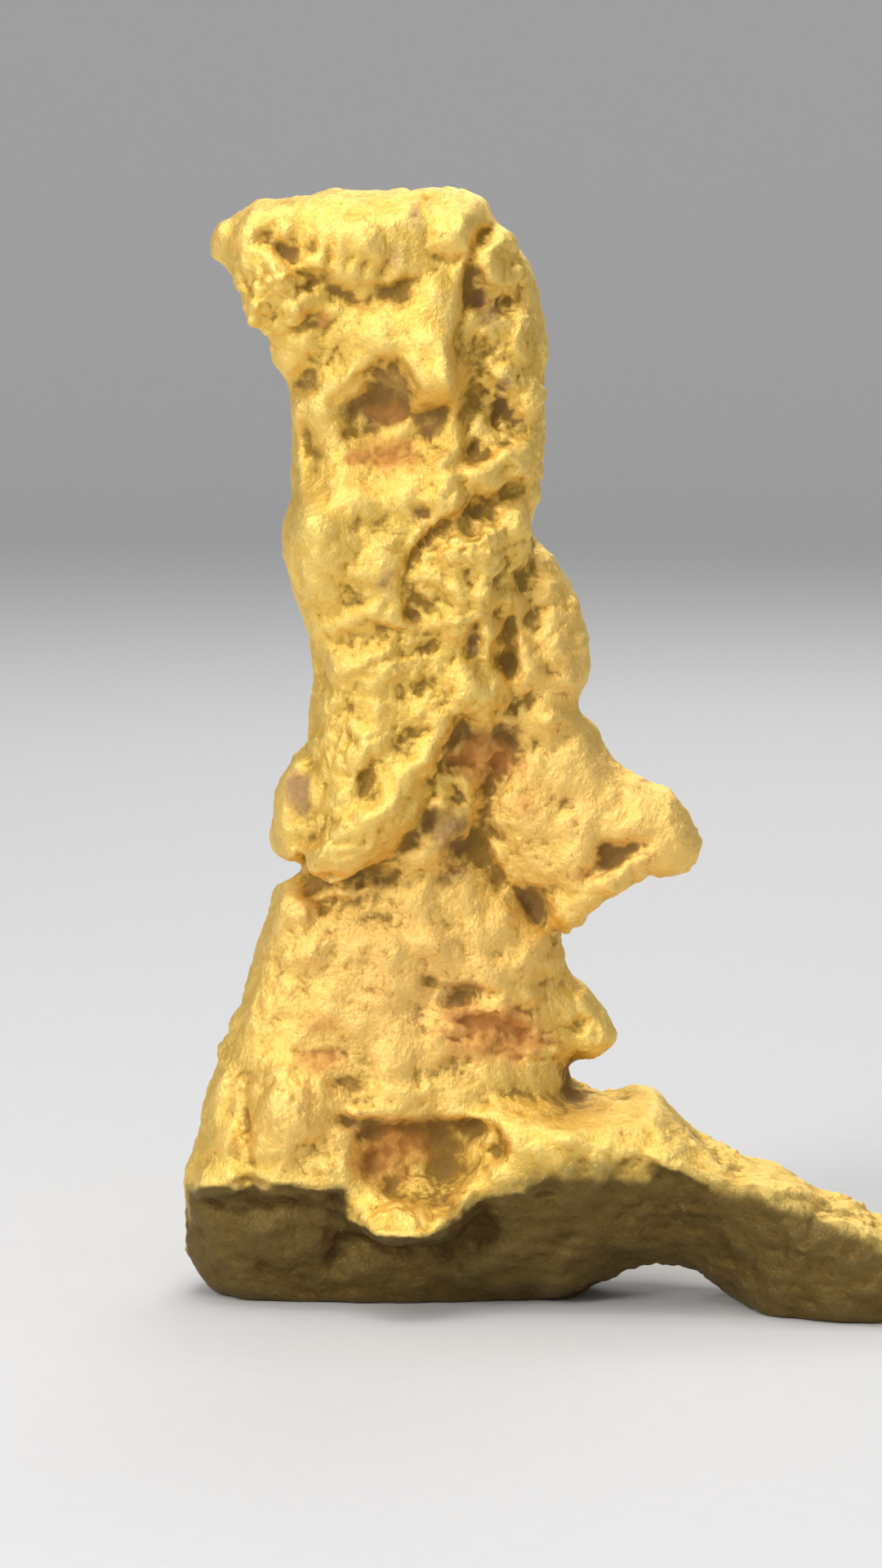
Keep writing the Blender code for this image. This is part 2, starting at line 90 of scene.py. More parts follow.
# Uneven swells: size, how far they move the surface, seed offset.
SWELLS = ((9.0, 0.5, 21.0), (4.6, 0.35, 33.0))
# How far the edges of strokes wander, and over what length, in two sizes.
WANDER = ((8.0, 0.9), (3.2, 0.5))
# Facets, from large to small: size, height where smooth and where rough, seed offset; and their mean height.
FACETS = ((11.0, 0.45, 1.5, 4.0), (5.2, 0.35, 1.25, 57.0), (2.6, 0.24, 0.7, 31.0))
FACET_MIDDLE = 0.25
# Rounded lumps, larger and smaller: size, height where smooth and where rough, seed offset.
LUMPS = ((5.5, 0.25, 0.35, 71.0), (2.2, 0.2, 0.3, 83.0))
# How the facets and lumps are bent out of true: over what length and how far, in two sizes.
BEND = ((11.0, 3.0), (4.0, 1.3))
# How ragged the rims of the small holes are, over what length, and how far past its radius a hole fades out.
RAGGED = (0.45, 1.7)
HOLE_SPREAD = 1.5
HOLE_WALL = 0.7  # how steep its wall is
# Chance rough patches: size, where they begin and are full, strength where the front faces and elsewhere.
CHANCE_SIZE = 24.0
CHANCE_EDGE = (0.0, 0.35)
CHANCE_STRENGTH = (0.25, 0.75)
# How a nodule is stretched, least and most, and how steep a pit's wall and how soft its rim are.
BALL_STRETCH = ((0.8, 0.8, 0.7), (1.5, 1.15, 1.1))
PIT_WALL, PIT_RIM = 2.4, 1.4
# Streaks round the sole: size, height, how drawn out and slanted, and the heights where they fade out.
STREAK_SIZE, STREAK_HEIGHT = 2.4, 0.5
STREAK_FLATNESS, STREAK_SLANT = 0.35, 0.2
STREAK_FADE = (20.0, 34.0)
# The heights above the ground between which roughness, and all fine relief, set in.
ROUGH_START, RELIEF_START = (2.0, 6.0), (0.2, 2.5)

# Where the front is rough: centre (x, z), half sizes, strength, turn in degrees.
ROUGH_ZONES = (
    ((-33, 248), (14, 14), 0.9, 0),
    ((25, 232), (11, 40), 0.9, 0),
    ((14, 184), (22, 22), 1.0, 0),
    ((4, 152), (22, 20), 0.8, 0),
    ((-14, 142), (12, 22), 0.6, 0),
    ((-17, 180), (12, 20), 0.4, 0),
    ((36, 160), (9, 22), 0.45, 0),
    ((20, 134), (18, 14), 0.8, 0),
    ((-16, 115), (14, 8), 0.9, 20),
    ((20, 68), (22, 11), 1.0, 0),
    ((-30, 60), (14, 34), 0.4, 0),
    ((-26, 92), (14, 12), 0.5, 0),
    ((50, 100), (15, 7), 0.8, 25),
    ((52, 38), (32, 5), 0.7, -10),
    ((0, 26), (16, 6), 0.6, 0),
    ((-24, 38), (12, 6), 0.5, 0),
)
ROUGH_BACK_ZONES = (
    ((-10, 236), (26, 32), 0.8, 0),
    ((18, 176), (22, 40), 0.8, 0),
    ((-6, 92), (34, 34), 0.7, 0),
    ((40, 30), (60, 20), 0.6, 0),
)
# Where small round beads have grown.
BEADED_ZONES = (
    ((-32, 246), (13, 13), 1.0, 0),
    ((24, 234), (10, 38), 0.45, 0),
    ((12, 186), (12, 14), 0.35, 0),
    ((50, 104), (14, 5), 0.6, 30),
)
BEADED_BACK_ZONES = (
    ((-10, 236), (20, 26), 0.5, 0),
    ((18, 176), (18, 34), 0.4, 0),
)
# How much of a rough place's strength also grows beads.
STRAY_BEADS = 0.08
# Where the front is worn smooth.
SMOOTH_ZONES = (
    ((2, 264), (28, 10), 0.8, 0),
    ((-2, 238), (20, 7), 1.0, 10),
    ((-6, 221), (15, 10), 1.0, 0),
    ((-12, 200), (20, 8), 0.8, 6),
    ((-20, 184), (12, 16), 0.3, 0),
    ((-8, 126), (16, 5), 0.8, 48),
    ((48, 120), (20, 10), 0.8, -30),
    ((62, 112), (9, 12), 0.9, 0),
    ((0, 58), (38, 6), 0.8, 0),
    ((4, 42), (20, 12), 0.7, 0),
    ((-24, 46), (10, 10), 0.6, 0),
    ((66, 46), (40, 7), 1.0, -22),
)

# Dents (+) and swellings (-) in the front: centre (x, z), half sizes, depth, turn in degrees.
DENTS = (
    # the plate and the knob
    ((11, 265), (7.5, 9), -2.4, 0),
    ((-31, 251.5), (6, 6), -1.0, 0),
    ((-36.5, 244.5), (3.4, 3.2), -0.8, 0),
    ((-28, 243.5), (3.2, 3), -0.8, 0),
    ((-22.5, 250), (4.4, 4.6), -2.0, 0),
    ((-22.5, 254.5), (6, 4), -2.4, -10),
    ((-9, 247), (11, 2.6), -1.2, 4),
    ((-38, 262), (4, 3), -1.2, 0),
    ((-26, 267), (5, 4), -1.0, 0),
    ((-42, 257), (3, 2.6), 1.6, 0),
    ((-25, 235.5), (5, 4.8), -1.8, 0),
    ((-24.5, 226), (5, 4.5), 1.6, 0),
    # the face of the right side
    ((21.5, 259), (3.6, 3.4), -2.2, 0),
    ((18, 253), (6.4, 10), -6.4, 0),
    ((18.5, 246), (5, 4), 0.8, 0),
    ((14.5, 243), (4, 9), -1.6, 0),
    ((7, 246), (5, 8), -1.0, 0),
    ((25, 250), (3, 3), -1.2, 0),
    ((19, 238), (3, 3), -1.2, 0),
    ((27, 238), (2.6, 5), -1.0, 0),
    ((24, 231), (5, 1.6), 0.8, 0),
    ((22, 221), (3, 3.5), 0.5, 0),
    ((19, 212), (3.4, 3.4), -1.4, 0),
    ((25, 206), (3, 4), 1.4, 0),
    # under the brow
    ((6, 226), (6, 5.5), -1.0, 0),
    ((-14, 219.6), (9, 4), 1.3, 24),
    ((6, 218.5), (7, 3), 1.0, 0),
    ((-3, 214), (10, 4), -1.2, 8),
    ((-6, 218.5), (9, 3), 0.8, -4),
    ((10, 229), (6, 9), -2.4, 0),
    ((0.4, 230), (5, 4.6), -2.6, 20),
    ((14, 231), (4, 9), -2.0, 0),
    ((11, 216.5), (9.5, 7), -3.6, -15),
    ((23.6, 224.5), (5, 7), -3.4, 0),
    ((13, 209), (5, 3), 0.8, 0),
    ((-22.3, 208.5), (2.6, 3.4), 1.6, 0),
    ((-12, 207), (3.4, 2.4), 1.0, 0),
    ((-4, 209), (6, 3), 0.8, 0),
    # the middle of the leg
    ((-20, 188), (9, 12), -0.7, 0),
    ((4, 195.2), (4, 2.2), 1.7, -6),
    ((13, 201), (6, 2.4), 1.0, 12),
    ((12, 194.5), (4, 2.6), -0.8, 10),
    ((15, 190.5), (3.2, 3), 1.3, 20),
    ((18.5, 188.5), (2.4, 2), -0.8, 0),
    ((4, 189.5), (4.4, 2), -0.8, 10),
    ((-2, 187), (3.4, 5), 1.2, 15),
    ((6, 183), (4.4, 1.4), 1.2, 0),
    ((-4, 178.4), (5, 3.4), 1.3, 0),
    ((6, 178.6), (3.2, 2), -0.9, 12),
    ((16, 179.6), (4.6, 3.4), 0.9, 0),
    ((13, 174), (4, 4.6), -0.9, 0),
    ((0.5, 171.5), (6, 3.4), -0.9, -28),
    ((7.5, 173), (3.4, 5.5), 1.2, -38),
    ((-18, 164.5), (5.5, 3.4), 1.3, 10),
    ((-4, 161), (10, 3), -0.7, 10),
    ((3.6, 153.5), (8, 4), 1.2, 30),
    ((5, 158.3), (2, 2), 0.9, 0),
    ((4.8, 155), (1.8, 1.6), -0.8, 0),
    ((12, 156), (4, 5), -0.6, 0),
    ((19, 196), (6, 3), -1.2, 0),
    ((21.5, 162), (5.5, 8), -4.6, 0),
    ((24.4, 151), (5.5, 10), -4.6, 0),
    ((26.6, 171), (4, 6), -2.2, 0),
    ((27.6, 160), (4.4, 13), -2.4, 4),
    ((6, 146), (9, 2.6), -0.8, 4),
    ((-16, 150), (5, 6), -0.5, 0),
    ((2, 141.5), (8, 2), 0.7, 8),
    # the side lobe
    ((38.4, 173), (1.8, 1.8), 1.2, 0),
    ((34.5, 176), (5, 3), -0.8, 0),
    ((35, 163), (5, 4), -1.0, 0),
    ((33.5, 156), (4.6, 2), 1.3, -25),
    ((30, 147.5), (3, 3), 1.2, 0),
    # the ankle
    ((-26, 128), (3.2, 4.8), 1.0, 8),
    ((-31, 114), (4, 2.6), 0.7, 0),
    ((-14, 137), (4, 7), -0.6, -8),
    ((-4.6, 132), (9, 5), -2.2, 45),
    ((10.5, 141), (7, 4.4), 2.0, 45),
    ((-18, 121), (3, 3), 0.7, 0),
    ((-9, 130), (3, 8), 0.7, -30),
    ((18.6, 136), (10, 5), -4.0, -8),
    ((13.6, 139.6), (5, 1.6), 1.0, -6),
    ((21, 133), (3, 1.8), 1.2, 20),
    ((-12, 98), (7, 8), 0.7, -20),
    ((24, 125), (5, 5), -0.6, 0),
    ((16, 121), (3, 4), -0.7, 0),
    ((24, 112), (6, 5), -0.6, 0),
    ((8.4, 117.4), (7, 8.5), -5.0, -20),
    ((12, 126.5), (4, 5.5), 2.8, 0),
    ((7.6, 122.6), (4, 4), -2.4, 0),
    ((12.4, 113.5), (3, 4.6), 1.8, -15),
    ((17.5, 117), (4, 5.5), -2.2, -20),
    ((-1.4, 108.3), (8, 4.6), -4.0, 25),
    ((-14, 103.6), (12, 5), -6.0, 8),
    ((-10, 99.6), (10, 6), -2.6, 5),
    ((-20, 102), (7, 4), -1.8, 10),
    ((25.5, 102), (4, 8), -2.4, 38),
    # the lower body
    ((-26, 98), (5, 4), -1.2, 0),
    ((-24, 88), (6, 7), -1.0, 0),
    ((-33, 84), (3.4, 5), 1.2, 0),
    ((-36.4, 72), (2.2, 4), 1.4, 0),
    ((12, 75.5), (7.6, 2.6), 1.6, 0),
    ((22, 69.4), (5, 1.8), 2.2, -20),
    ((30, 64), (5, 2.4), 1.0, -20),
    ((13, 67), (8, 4), 0.8, -10),
    ((42, 68.5), (3, 4), 1.6, 0),
    ((44, 73), (3, 5), -1.2, 35),
    # the foot
    ((-15, 46.6), (4.4, 2.6), 3.4, 0),
    ((-8.6, 45), (6.5, 4.6), 3.6, -8),
    ((-9, 36), (3.4, 5), 2.0, 12),
    ((14, 45.4), (6, 3), 1.6, 0),
    ((19, 43), (4.6, 5), -2.2, 30),
    ((-12, 49), (4, 2.6), -1.2, 0),
    ((4, 53.5), (20, 3.6), -1.2, -2),
    ((20, 36), (5, 3.6), -1.6, 30),
    ((-43.4, 42), (4.6, 5), -1.6, 0),
    ((-27, 46), (8, 9), -1.4, 0),
    ((-24, 41), (5, 3), 0.8, 0),
    ((2, 26), (12, 3.6), -1.6, 0),
)
# Small deep holes in the front: centre (x, z), radius, depth.
HOLES = (
    ((-34, 259.2), 1.5, 1.0),
    ((-30.6, 257), 1.6, 1.4),
    ((-28.4, 255), 1.2, 0.9),
    ((-27.2, 260.5), 1.2, 1.0),
    ((-22, 252.3), 1.3, 0.8),
    ((-35.6, 264.8), 1.1, 0.6),
    ((14, 268.5), 0.9, 0.5),
    ((-17, 247), 1.7, 0.8),
    ((-13.6, 246.4), 1.5, 0.7),
    ((-10.2, 248.6), 1.4, 0.7),
    ((-5.2, 247.6), 1.5, 0.7),
    ((2.6, 251.5), 1.1, 0.7),
    ((-22.4, 204.5), 1.1, 0.8),
    ((-16.8, 189), 1.2, 0.5),
    ((-9.6, 169), 1.1, 0.8),
    ((12, 61), 0.9, 1.1),
    ((15.8, 61), 0.8, 1.1),
    ((-5, 87.5), 1.3, 0.7),
    ((1, 88.6), 0.8, 0.5),
    ((3.6, 85), 1.1, 0.6),
    ((-42.6, 53.5), 0.9, 0.5),
    ((-23, 50), 0.9, 0.4),
    ((26, 68), 1.0, 0.8),
)
# Ridges (+) and cracks (-) in the front: half width, height, path of (x, z).
LINES = (
    # drips on the plate, with the gaps between them
    (2.0, 0.7, ((-20.5, 262), (-21, 256))),
    (2.2, 0.9, ((-15.6, 266), (-16.4, 251))),
    (1.6, 0.5, ((-11.8, 260), (-12.6, 253.5))),
    (2.0, 0.7, ((-7.2, 257), (-7.8, 250.5))),
    (2.4, 0.9, ((-1.2, 259), (-2.4, 250))),
    (1.0, -0.6, ((-18.6, 259), (-18.4, 252))),
    (0.9, -0.8, ((-10.2, 256), (-10.8, 251))),
    (1.0, -0.7, ((-4.8, 263), (-5.2, 258))),
    (1.1, -0.7, ((-5.4, 255), (-5.2, 251))),
    (0.9, -0.8, ((-26, 270), (-25.4, 262))),
    (1.2, -1.3, ((4, 270), (4.8, 264), (4, 257.5))),
    (1.2, -1.6, ((5, 257), (9, 254.5), (13, 256))),
    # the sharp edge between the plate and the right side
    (2.0, 0.5, ((20, 267), (15.6, 260), (12.4, 253), (11, 245), (10.8, 232))),
    # the brow and its upper gap
    (1.4, -0.9, ((-19.5, 238), (-14, 244), (-8, 246))),
    # the edge strip on the left
    (1.5, -0.7, ((-24.4, 221), (-24.6, 210), (-24.2, 199))),
    (1.4, 0.5, ((-27.2, 221), (-27, 208), (-26.8, 198))),
    (2.4, 1.4, ((20, 222), (16, 213), (8, 207))),
    # the middle of the leg
    (1.2, -1.1, ((-10.4, 168.6), (-6, 166.4), (4, 165.2), (12, 166.6))),
    (1.3, 0.6, ((-4.4, 174.5), (1, 172), (4.6, 168.5))),
    (1.6, -1.1, ((16.6, 167.5), (16, 164), (14.6, 160))),
    (1.2, -1.1, ((30.6, 170.6), (35.6, 171), (42.4, 170.2))),
    (1.0, -0.5, ((-20, 176), (-14, 172), (-10, 172.6))),
    (1.2, 0.5, ((-22, 156), (-12, 157.5), (-2, 163))),
    (1.0, -0.5, ((-20, 149), (-8, 151), (2, 149))),
    # folds beside the tongue, and the tongue itself
    (1.6, 0.7, ((-11.6, 141), (-12.4, 132), (-16, 125))),
    (1.2, -0.7, ((-8.6, 138), (-9.4, 129), (-14, 121))),
    (3.0, 0.6, ((1, 130), (-6, 123), (-13, 115), (-20, 111))),
    (1.1, -0.7, ((-21, 141), (-21, 134))),
    (1.0, -0.4, ((-19, 127), (-13, 119))),
    (1.4, -0.6, ((26, 133), (29, 126))),
    (0.9, -0.4, ((38, 124), (42, 118))),
    # the wing's rim and the crevice beside it
    (2.6, 0.5, ((37, 99), (43, 101), (50, 105.5), (56, 109))),
    (2.4, -1.5, ((43, 105.5), (50, 109.5), (58, 114.4))),
    (1.3, -1.0, ((26, 103), (27.4, 98.6), (31, 94.4))),
    (1.0, 0.9, ((29.4, 99.5), (33, 93.6), (37, 90))),
    (0.9, -1.0, ((30.4, 99.5), (34, 95.6), (38, 92.6))),
    (2.6, 1.4, ((20, 114), (24, 108), (28, 103))),
    # the lower body
    (0.8, -0.7, ((-10, 76.8), (4, 76.4))),
    (0.9, -0.8, ((-28, 63.5), (-24.6, 61.6), (-21, 63), (-18, 61))),
    (1.0, -0.8, ((25, 80), (33, 78))),
    (1.0, -1.3, ((2, 73.6), (9, 72), (15, 70.2))),
    (0.9, -1.2, ((4, 68.4), (13, 66.8), (20, 65.6))),
    (1.0, -1.5, ((26, 68), (30.6, 65), (36, 63.6))),
    (0.9, -1.0, ((22, 62.6), (30, 60.6), (36, 60))),
    (1.2, 0.9, ((14, 73.6), (22, 72), (30, 69.6))),
    (1.1, -1.2, ((20, 66), (26, 62.5), (33, 59.6))),
    (1.2, -1.0, ((-18, 55.5), (-14.6, 56.5))),
    # the foot
    (1.8, -1.8, ((-39.4, 55), (-38.4, 46), (-38.6, 36))),
    (1.8, 0.5, ((-2.6, 42), (-4.2, 34), (-8.4, 28.6))),
    (1.2, -0.7, ((-5, 39), (-6, 31))),
    (2.0, 1.6, ((-12, 26), (-8, 22.4), (4, 22), (11, 25.4), (14, 30))),
    (2.6, 1.2, ((22, 51), (40, 44), (54, 41), (70, 36.5), (84, 31.5), (98, 27), (116, 20.5))),
)
# Ledges in the front: how far the low side is set back, how wide it is, and the edge's path.
# The low side is on the left as one goes along the path.
LEDGES = (
    (1.2, 5.0, ((-1, 251), (-3, 248.6), (-8, 249.6), (-13, 250.4), (-20, 253))),
    (0.8, 6.0, ((21, 266), (16, 258), (12.6, 250), (11.8, 238), (12, 226))),
    (1.6, 5.0, ((2.6, 226), (0.5, 229.5), (-1.5, 232), (-6, 232), (-12, 228), (-18.5, 222.5))),
    (0.5, 5.0, ((7, 214), (-4, 215.5), (-17, 214))),
    (0.9, 4.0, ((22, 211), (14, 208), (6, 203.5))),
    (0.9, 6.0, ((22, 198), (8, 193), (0, 186), (-4, 176), (-8, 168))),
    (0.8, 5.0, ((6, 165), (-4, 161), (-14, 155), (-22, 152))),
    (1.4, 6.0, ((16, 27), (9, 20.5), (-4, 19), (-13, 21), (-17, 28))),
    (2.0, 4.0, ((21, 78.4), (15, 79.6), (9, 79.2), (5.6, 81))),
    (1.5, 7.0, ((-17, 30), (-26, 30.5), (-38, 33.5), (-45, 31), (-52, 28))),
)
LEDGE_EDGE = 1.2

# Earth and stains on the front: centre (x, z), half sizes, strength, turn in degrees. The brown earth is
# partly painted shade, in the recesses under the brow and beside and under the tongue.
BROWN_EARTH_AND_SHADE = (
    ((-13, 219.5), (9, 4.5), 1.3, 22),
    ((-4, 223), (7.5, 9), 1.6, 0),
    ((-6, 217), (9, 4.5), 1.2, 0),
    ((6, 215), (10, 5), 1.1, -24),
    ((10, 213), (9, 7), 0.7, 0),
    ((18, 248), (7, 11), 0.8, 10),
    ((25, 230), (9, 40), 0.7, 0),
    ((-24.6, 226), (6, 5), 0.7, 0),
    ((20, 138), (16, 9), 1.3, 0),
    ((9, 118), (9, 13), 1.5, -25),
    ((-27, 124), (5, 7), 0.9, 0),
    ((24, 150), (4, 10), 0.8, 0),
    ((50, 110), (12, 5), 0.9, 30),
    ((29, 98), (5, 8), 0.9, 30),
    ((-12, 100), (10, 9), 0.55, -20),
    ((18, 69), (20, 9), 1.3, -8),
    ((30, 63), (10, 6), 0.8, 0),
    ((3, 49), (18, 6), 0.9, 0),
    ((-10, 47), (8, 7), 1.0, 0),
    ((-22, 53), (9, 4), 0.7, 0),
    ((-31, 257), (8, 4), 0.9, 0),
    ((-11, 247.5), (12, 3.6), 0.7, 0),
    ((-42, 56), (5, 9), 0.6, 0),
    ((34, 156), (6, 3), 0.7, -20),
    ((34, 146), (8, 3), 0.8, 0),
    ((15, 182), (7, 8), 0.6, 0),
    ((-34, 112), (5, 5), 0.7, 0),
)
ORANGE_EARTH = (
    ((-5, 209), (11, 6), 1.2, 0),
    ((-5, 218), (8, 4), 1.0, 0),
    ((-12.6, 207.5), (4, 3.4), 1.4, 0),
    ((-20, 241), (2.6, 3), 0.9, 0),
    ((-42, 259), (3, 4), 0.9, 0),
    ((19, 134), (12, 8), 1.3, 0),
    ((28, 124), (6, 7), 0.7, -40),
    ((42, 106), (4, 4), 0.8, 0),
    ((21, 67), (20, 10), 1.4, -8),
    ((-43.4, 41), (5, 6), 0.8, 0),
    ((-26, 99), (3.4, 3.4), 0.8, 0),
    ((-3, 38), (13, 9), 1.2, 0),
    ((-22, 61), (9, 5), 1.1, 0),
    ((-21, 70), (8, 4), 1.0, 0),
    ((0, 254), (7, 6), 0.4, 0),
)
VIOLET_STAIN = (
    ((19, 244), (5, 7), 0.9, 0),
    ((23, 224), (3, 7), 0.9, 0),
    ((2, 266), (3, 5), 0.9, 0),
    ((-3, 256), (3.4, 6), 0.8, 0),
    ((-26.5, 126), (5.5, 9), 1.4, 8),
    ((-33, 112), (4, 6), 0.7, 0),
    ((-4, 178.5), (6, 4), 0.8, 0),
    ((15.6, 164), (3, 7), 1.0, 0),
    ((16, 191), (4, 4), 0.7, 0),
    ((4, 195), (5, 3), 0.6, 0),
    ((12, 79), (8, 3), 0.8, 0),
    ((10, 116), (6, 9), 0.8, -20),
    ((-33, 84), (4, 6), 0.6, 0),
    ((-42, 52), (4, 10), 0.5, 0),
    ((8, 104), (12, 4), 0.5, 20),
)
# The line (x, z) below which the undercut nugget gets painted shade, and how far below it the painted shade
# deepens.
SHADE_LINE = (
    (-60, 29), (-54, 30.5), (-46, 31.5), (-40, 34), (-30, 33), (-15, 32), (-14, 23.5), (-11, 21), (5, 21),
    (9, 27.5), (14, 31.5), (22, 35), (30, 42), (41, 44), (64, 42), (80, 39), (93, 35), (110, 27), (134, 17),
)
SHADE_DEPTH = 12.0
SHADE_EDGE = ((8, 1.0), (28, 8.0), (66, 8.0), (95, 4.0))  # how wide its edge is, along X
SHADE_AT_LINE = 0.45  # the share that is reached at the edge
# How far a surface has to look down to get painted shade, and the heights between which that fades out.
UNDERSIDE, UNDERSIDE_FADE = (0.05, 0.4), (34.0, 46.0)
# Where the front is paler and pinker.
PEACH_GOLD = (
    ((0, 80), (46, 40), 0.9, 0),
    ((46, 122), (36, 34), 0.8, 0),
    ((36, 160), (14, 28), 0.55, 0),
    ((-20, 50), (30, 22), 0.6, 0),
)

TARGET = Vector((0.008, 0, 0.1265))
CAMERA_DISTANCE = 1.5
CAMERA_HEIGHT_DEGREES = 7.0
VIEW_HEIGHT = 0.384  # how much of the target plane the frame shows, top to bottom
SENSOR = 36.0

# The grain's textures: features to the metre, detail, roughness.
COARSE_GRAIN, FINE_GRAIN, PATCHES = (430.0, 6.0, 0.66), (2600.0, 3.0, 0.6), (150.0, 5.0, 0.6)
GRAIN_CELLS = 800.0
CELL_SHARE, FINE_SHARE = 0.3, 0.42  # how much of each is added to the coarse grain
VALLEYS = (0.61, 0.26)  # the heights where its valleys begin and are full
FLOOR_COLOURS = ((0.66, 0.655, 0.65, 1), (0.70, 0.695, 0.69, 1))

MIDDLE = (0.02, 0, 0.13)  # what the lights aim at
# The lights: name, place, diameter, brightness.
LIGHTS = (
    ("overhead", (-0.25, -0.5, 1.35), 1.2, 1.9),
    ("key", (-0.95, -1.1, 0.85), 0.55, 15.8),
    ("back", (0.3, 1.3, 1.1), 1.0, 2.5),
)
# The wall lights: how many, diameter and brightness, and how far out and high each hangs and aims.
WALL_LIGHTS = 4
WALL_LIGHT_SIZE, WALL_BRIGHTNESS = 0.8, 4.5
WALL_LIGHT_AT, WALL_LIGHT_AIM = (0.4, 1.9), (2.8, 0.3)
AIR_COLOUR, AIR_BRIGHTNESS = (0.93, 0.95, 1.0, 1), 0.34


# ---- strokes ----


def as_vectors(points):
    return [Vector(point) for point in points.tolist()]


def falloff(reach):
    """1 at the middle of a stroke, falling smoothly to 0 where reach is 1."""
    return np.clip(1 - reach**2, 0, None) ** 2


def smooth_step(value, low, high):
    share = np.clip((value - low) / (high - low), 0, 1)
    return share * share * (3 - 2 * share)


def oval_reach(x, z, centre, half_sizes, turn):
    """How far each point is from an oval's centre, as a share of its half sizes."""
    angle = math.radians(turn)
    dx, dz = x - centre[0], z - centre[1]
    along = dx * math.cos(angle) + dz * math.sin(angle)
    across = dz * math.cos(angle) - dx * math.sin(angle)
    return np.hypot(along / half_sizes[0], across / half_sizes[1])


def path_reach(x, z, path):
    """How far each point is from a path, and how far to its left."""
    nearest = np.full(len(x), np.inf)
    left = np.zeros(len(x))
    for (ax, az), (bx, bz) in zip(path, path[1:]):
        length = math.hypot(bx - ax, bz - az)
        share = np.clip(((x - ax) * (bx - ax) + (z - az) * (bz - az)) / length**2, 0, 1)
        away = np.hypot(x - ax - share * (bx - ax), z - az - share * (bz - az))
        beside = ((z - az) * (bx - ax) - (x - ax) * (bz - az)) / length
        left = np.where(away < nearest, beside, left)
        nearest = np.minimum(nearest, away)
    return nearest, left


def ledge_share(x, z, path, width):
    """The share of a ledge's depth at each point: 0 on the high side, 1 just past the edge, then fading."""
    nearest, left = path_reach(x, z, path)
    past_end = np.sqrt(np.clip(nearest**2 - left**2, 0, None))
    drop = smooth_step(left, -LEDGE_EDGE / 2, LEDGE_EDGE / 2)
    return drop * falloff(np.clip(left, 0, None) / width) * falloff(past_end / (3 * LEDGE_EDGE))


def pattern(spots, size, seed=0.0):
    """Reads a noise pattern at every point; size is how large its features are."""
    offset = Vector((seed, seed, seed))
    return np.array([noise.noise(spot / size + offset) for spot in spots])


def strayed(points):
    """The points, moved about a little, so that what is drawn by them gets wandering edges."""
    spots = as_vectors(points)
    for size, amount in WANDER:
        points = points + np.array([noise.noise_vector(spot / size) for spot in spots]) * amount
    return points


def facing(normals, side):
    """How much each point looks to the front or the back."""
    return np.clip((normals[:, 1] * side - NOT_FACING) / (FACING - NOT_FACING), 0, 1)


def zone(points, normals, table, side=FRONT):
    """How strongly each point belongs to a table's ovals."""
    share = np.zeros(len(points))
    for centre, half_sizes, strength, turn in table:
        reach = oval_reach(points[:, 0], points[:, 2], centre, half_sizes, turn)
        share = np.maximum(share, strength * falloff(reach) ** 0.5 * facing(normals, side))
    return share


# ---- meshes ----


def new_object(name, data):
    made = bpy.data.objects.new(name, data)
    bpy.context.scene.collection.objects.link(made)
    return made


def read_surface(data):
    """The points in millimetres and the normals of a mesh."""
    points = np.empty(len(data.vertices) * 3)
    normals = np.empty(len(data.vertices) * 3)
    data.vertices.foreach_get("co", points)
    data.vertex_normals.foreach_get("vector", normals)
    return points.reshape(-1, 3) / MM, normals.reshape(-1, 3)


def write_points(data, points):
    data.vertices.foreach_set("co", (points * MM).ravel())
    data.update()


def store(data, name, values):
    """Keeps a value on every point, for Geometry Nodes and for the material."""
    layer = data.attributes.get(name) or data.attributes.new(name, "FLOAT", "POINT")
    layer.data.foreach_set("value", values.astype(np.float32))


def merged_copy(node, name):
    """A copy of a solid's mesh with its loose triangles joined, as an object of its own."""
    mesh = bmesh.new()
    mesh.from_mesh(node.data)
    bmesh.ops.remove_doubles(mesh, verts=mesh.verts, dist=1e-6)
    data = bpy.data.meshes.new(name)
    mesh.to_mesh(data)
    mesh.free()
    return new_object(name, data)


def settle(piece):
    """Replaces a piece's mesh with what its modifiers make of it, and removes them."""
    bpy.context.view_layer.update()
    graph = bpy.context.evaluated_depsgraph_get()
    data = bpy.data.meshes.new_from_object(piece.evaluated_get(graph))
    piece.modifiers.clear()
    piece.data = data


def remesh(piece, voxel):
    step = piece.modifiers.new("fuse", "REMESH")
    step.mode = "VOXEL"
    step.voxel_size = voxel * MM


def soften(piece, factor, passes):
    step = piece.modifiers.new("soften", "SMOOTH")
    step.factor = factor
    step.iterations = passes


def smoothed(values, edges, count, passes):
    """Averages values over neighbouring points, a number of times."""
    first, second = edges[:, 0], edges[:, 1]
    ties = np.bincount(first, minlength=count) + np.bincount(second, minlength=count)
    columns = values.reshape(count, -1)
    for _ in range(passes):
        sums = np.empty_like(columns)
        for column in range(columns.shape[1]):
            sums[:, column] = np.bincount(first, columns[second, column], count)
            sums[:, column] += np.bincount(second, columns[first, column], count)
        columns = 0.5 * columns + 0.5 * sums / np.maximum(ties, 1)[:, None]
    return columns.reshape(values.shape)


def mesh_edges(data):
    edges = np.empty(len(data.edges) * 2, dtype=np.int64)
    data.edges.foreach_get("vertices", edges)
    return edges.reshape(-1, 2)


# ---- node helpers ----


def add_node(tree, kind, values=None, **settings):
    """Adds a node, sets its properties, and fills or links its inputs, which are given by name or number."""
    made = tree.nodes.new(kind)
    for name, value in settings.items():
        setattr(made, name, value)
    for key, value in (values or {}).items():
        if isinstance(value, bpy.types.NodeSocket):
            tree.links.new(value, made.inputs[key])
        else:
            made.inputs[key].default_value = value
    return made


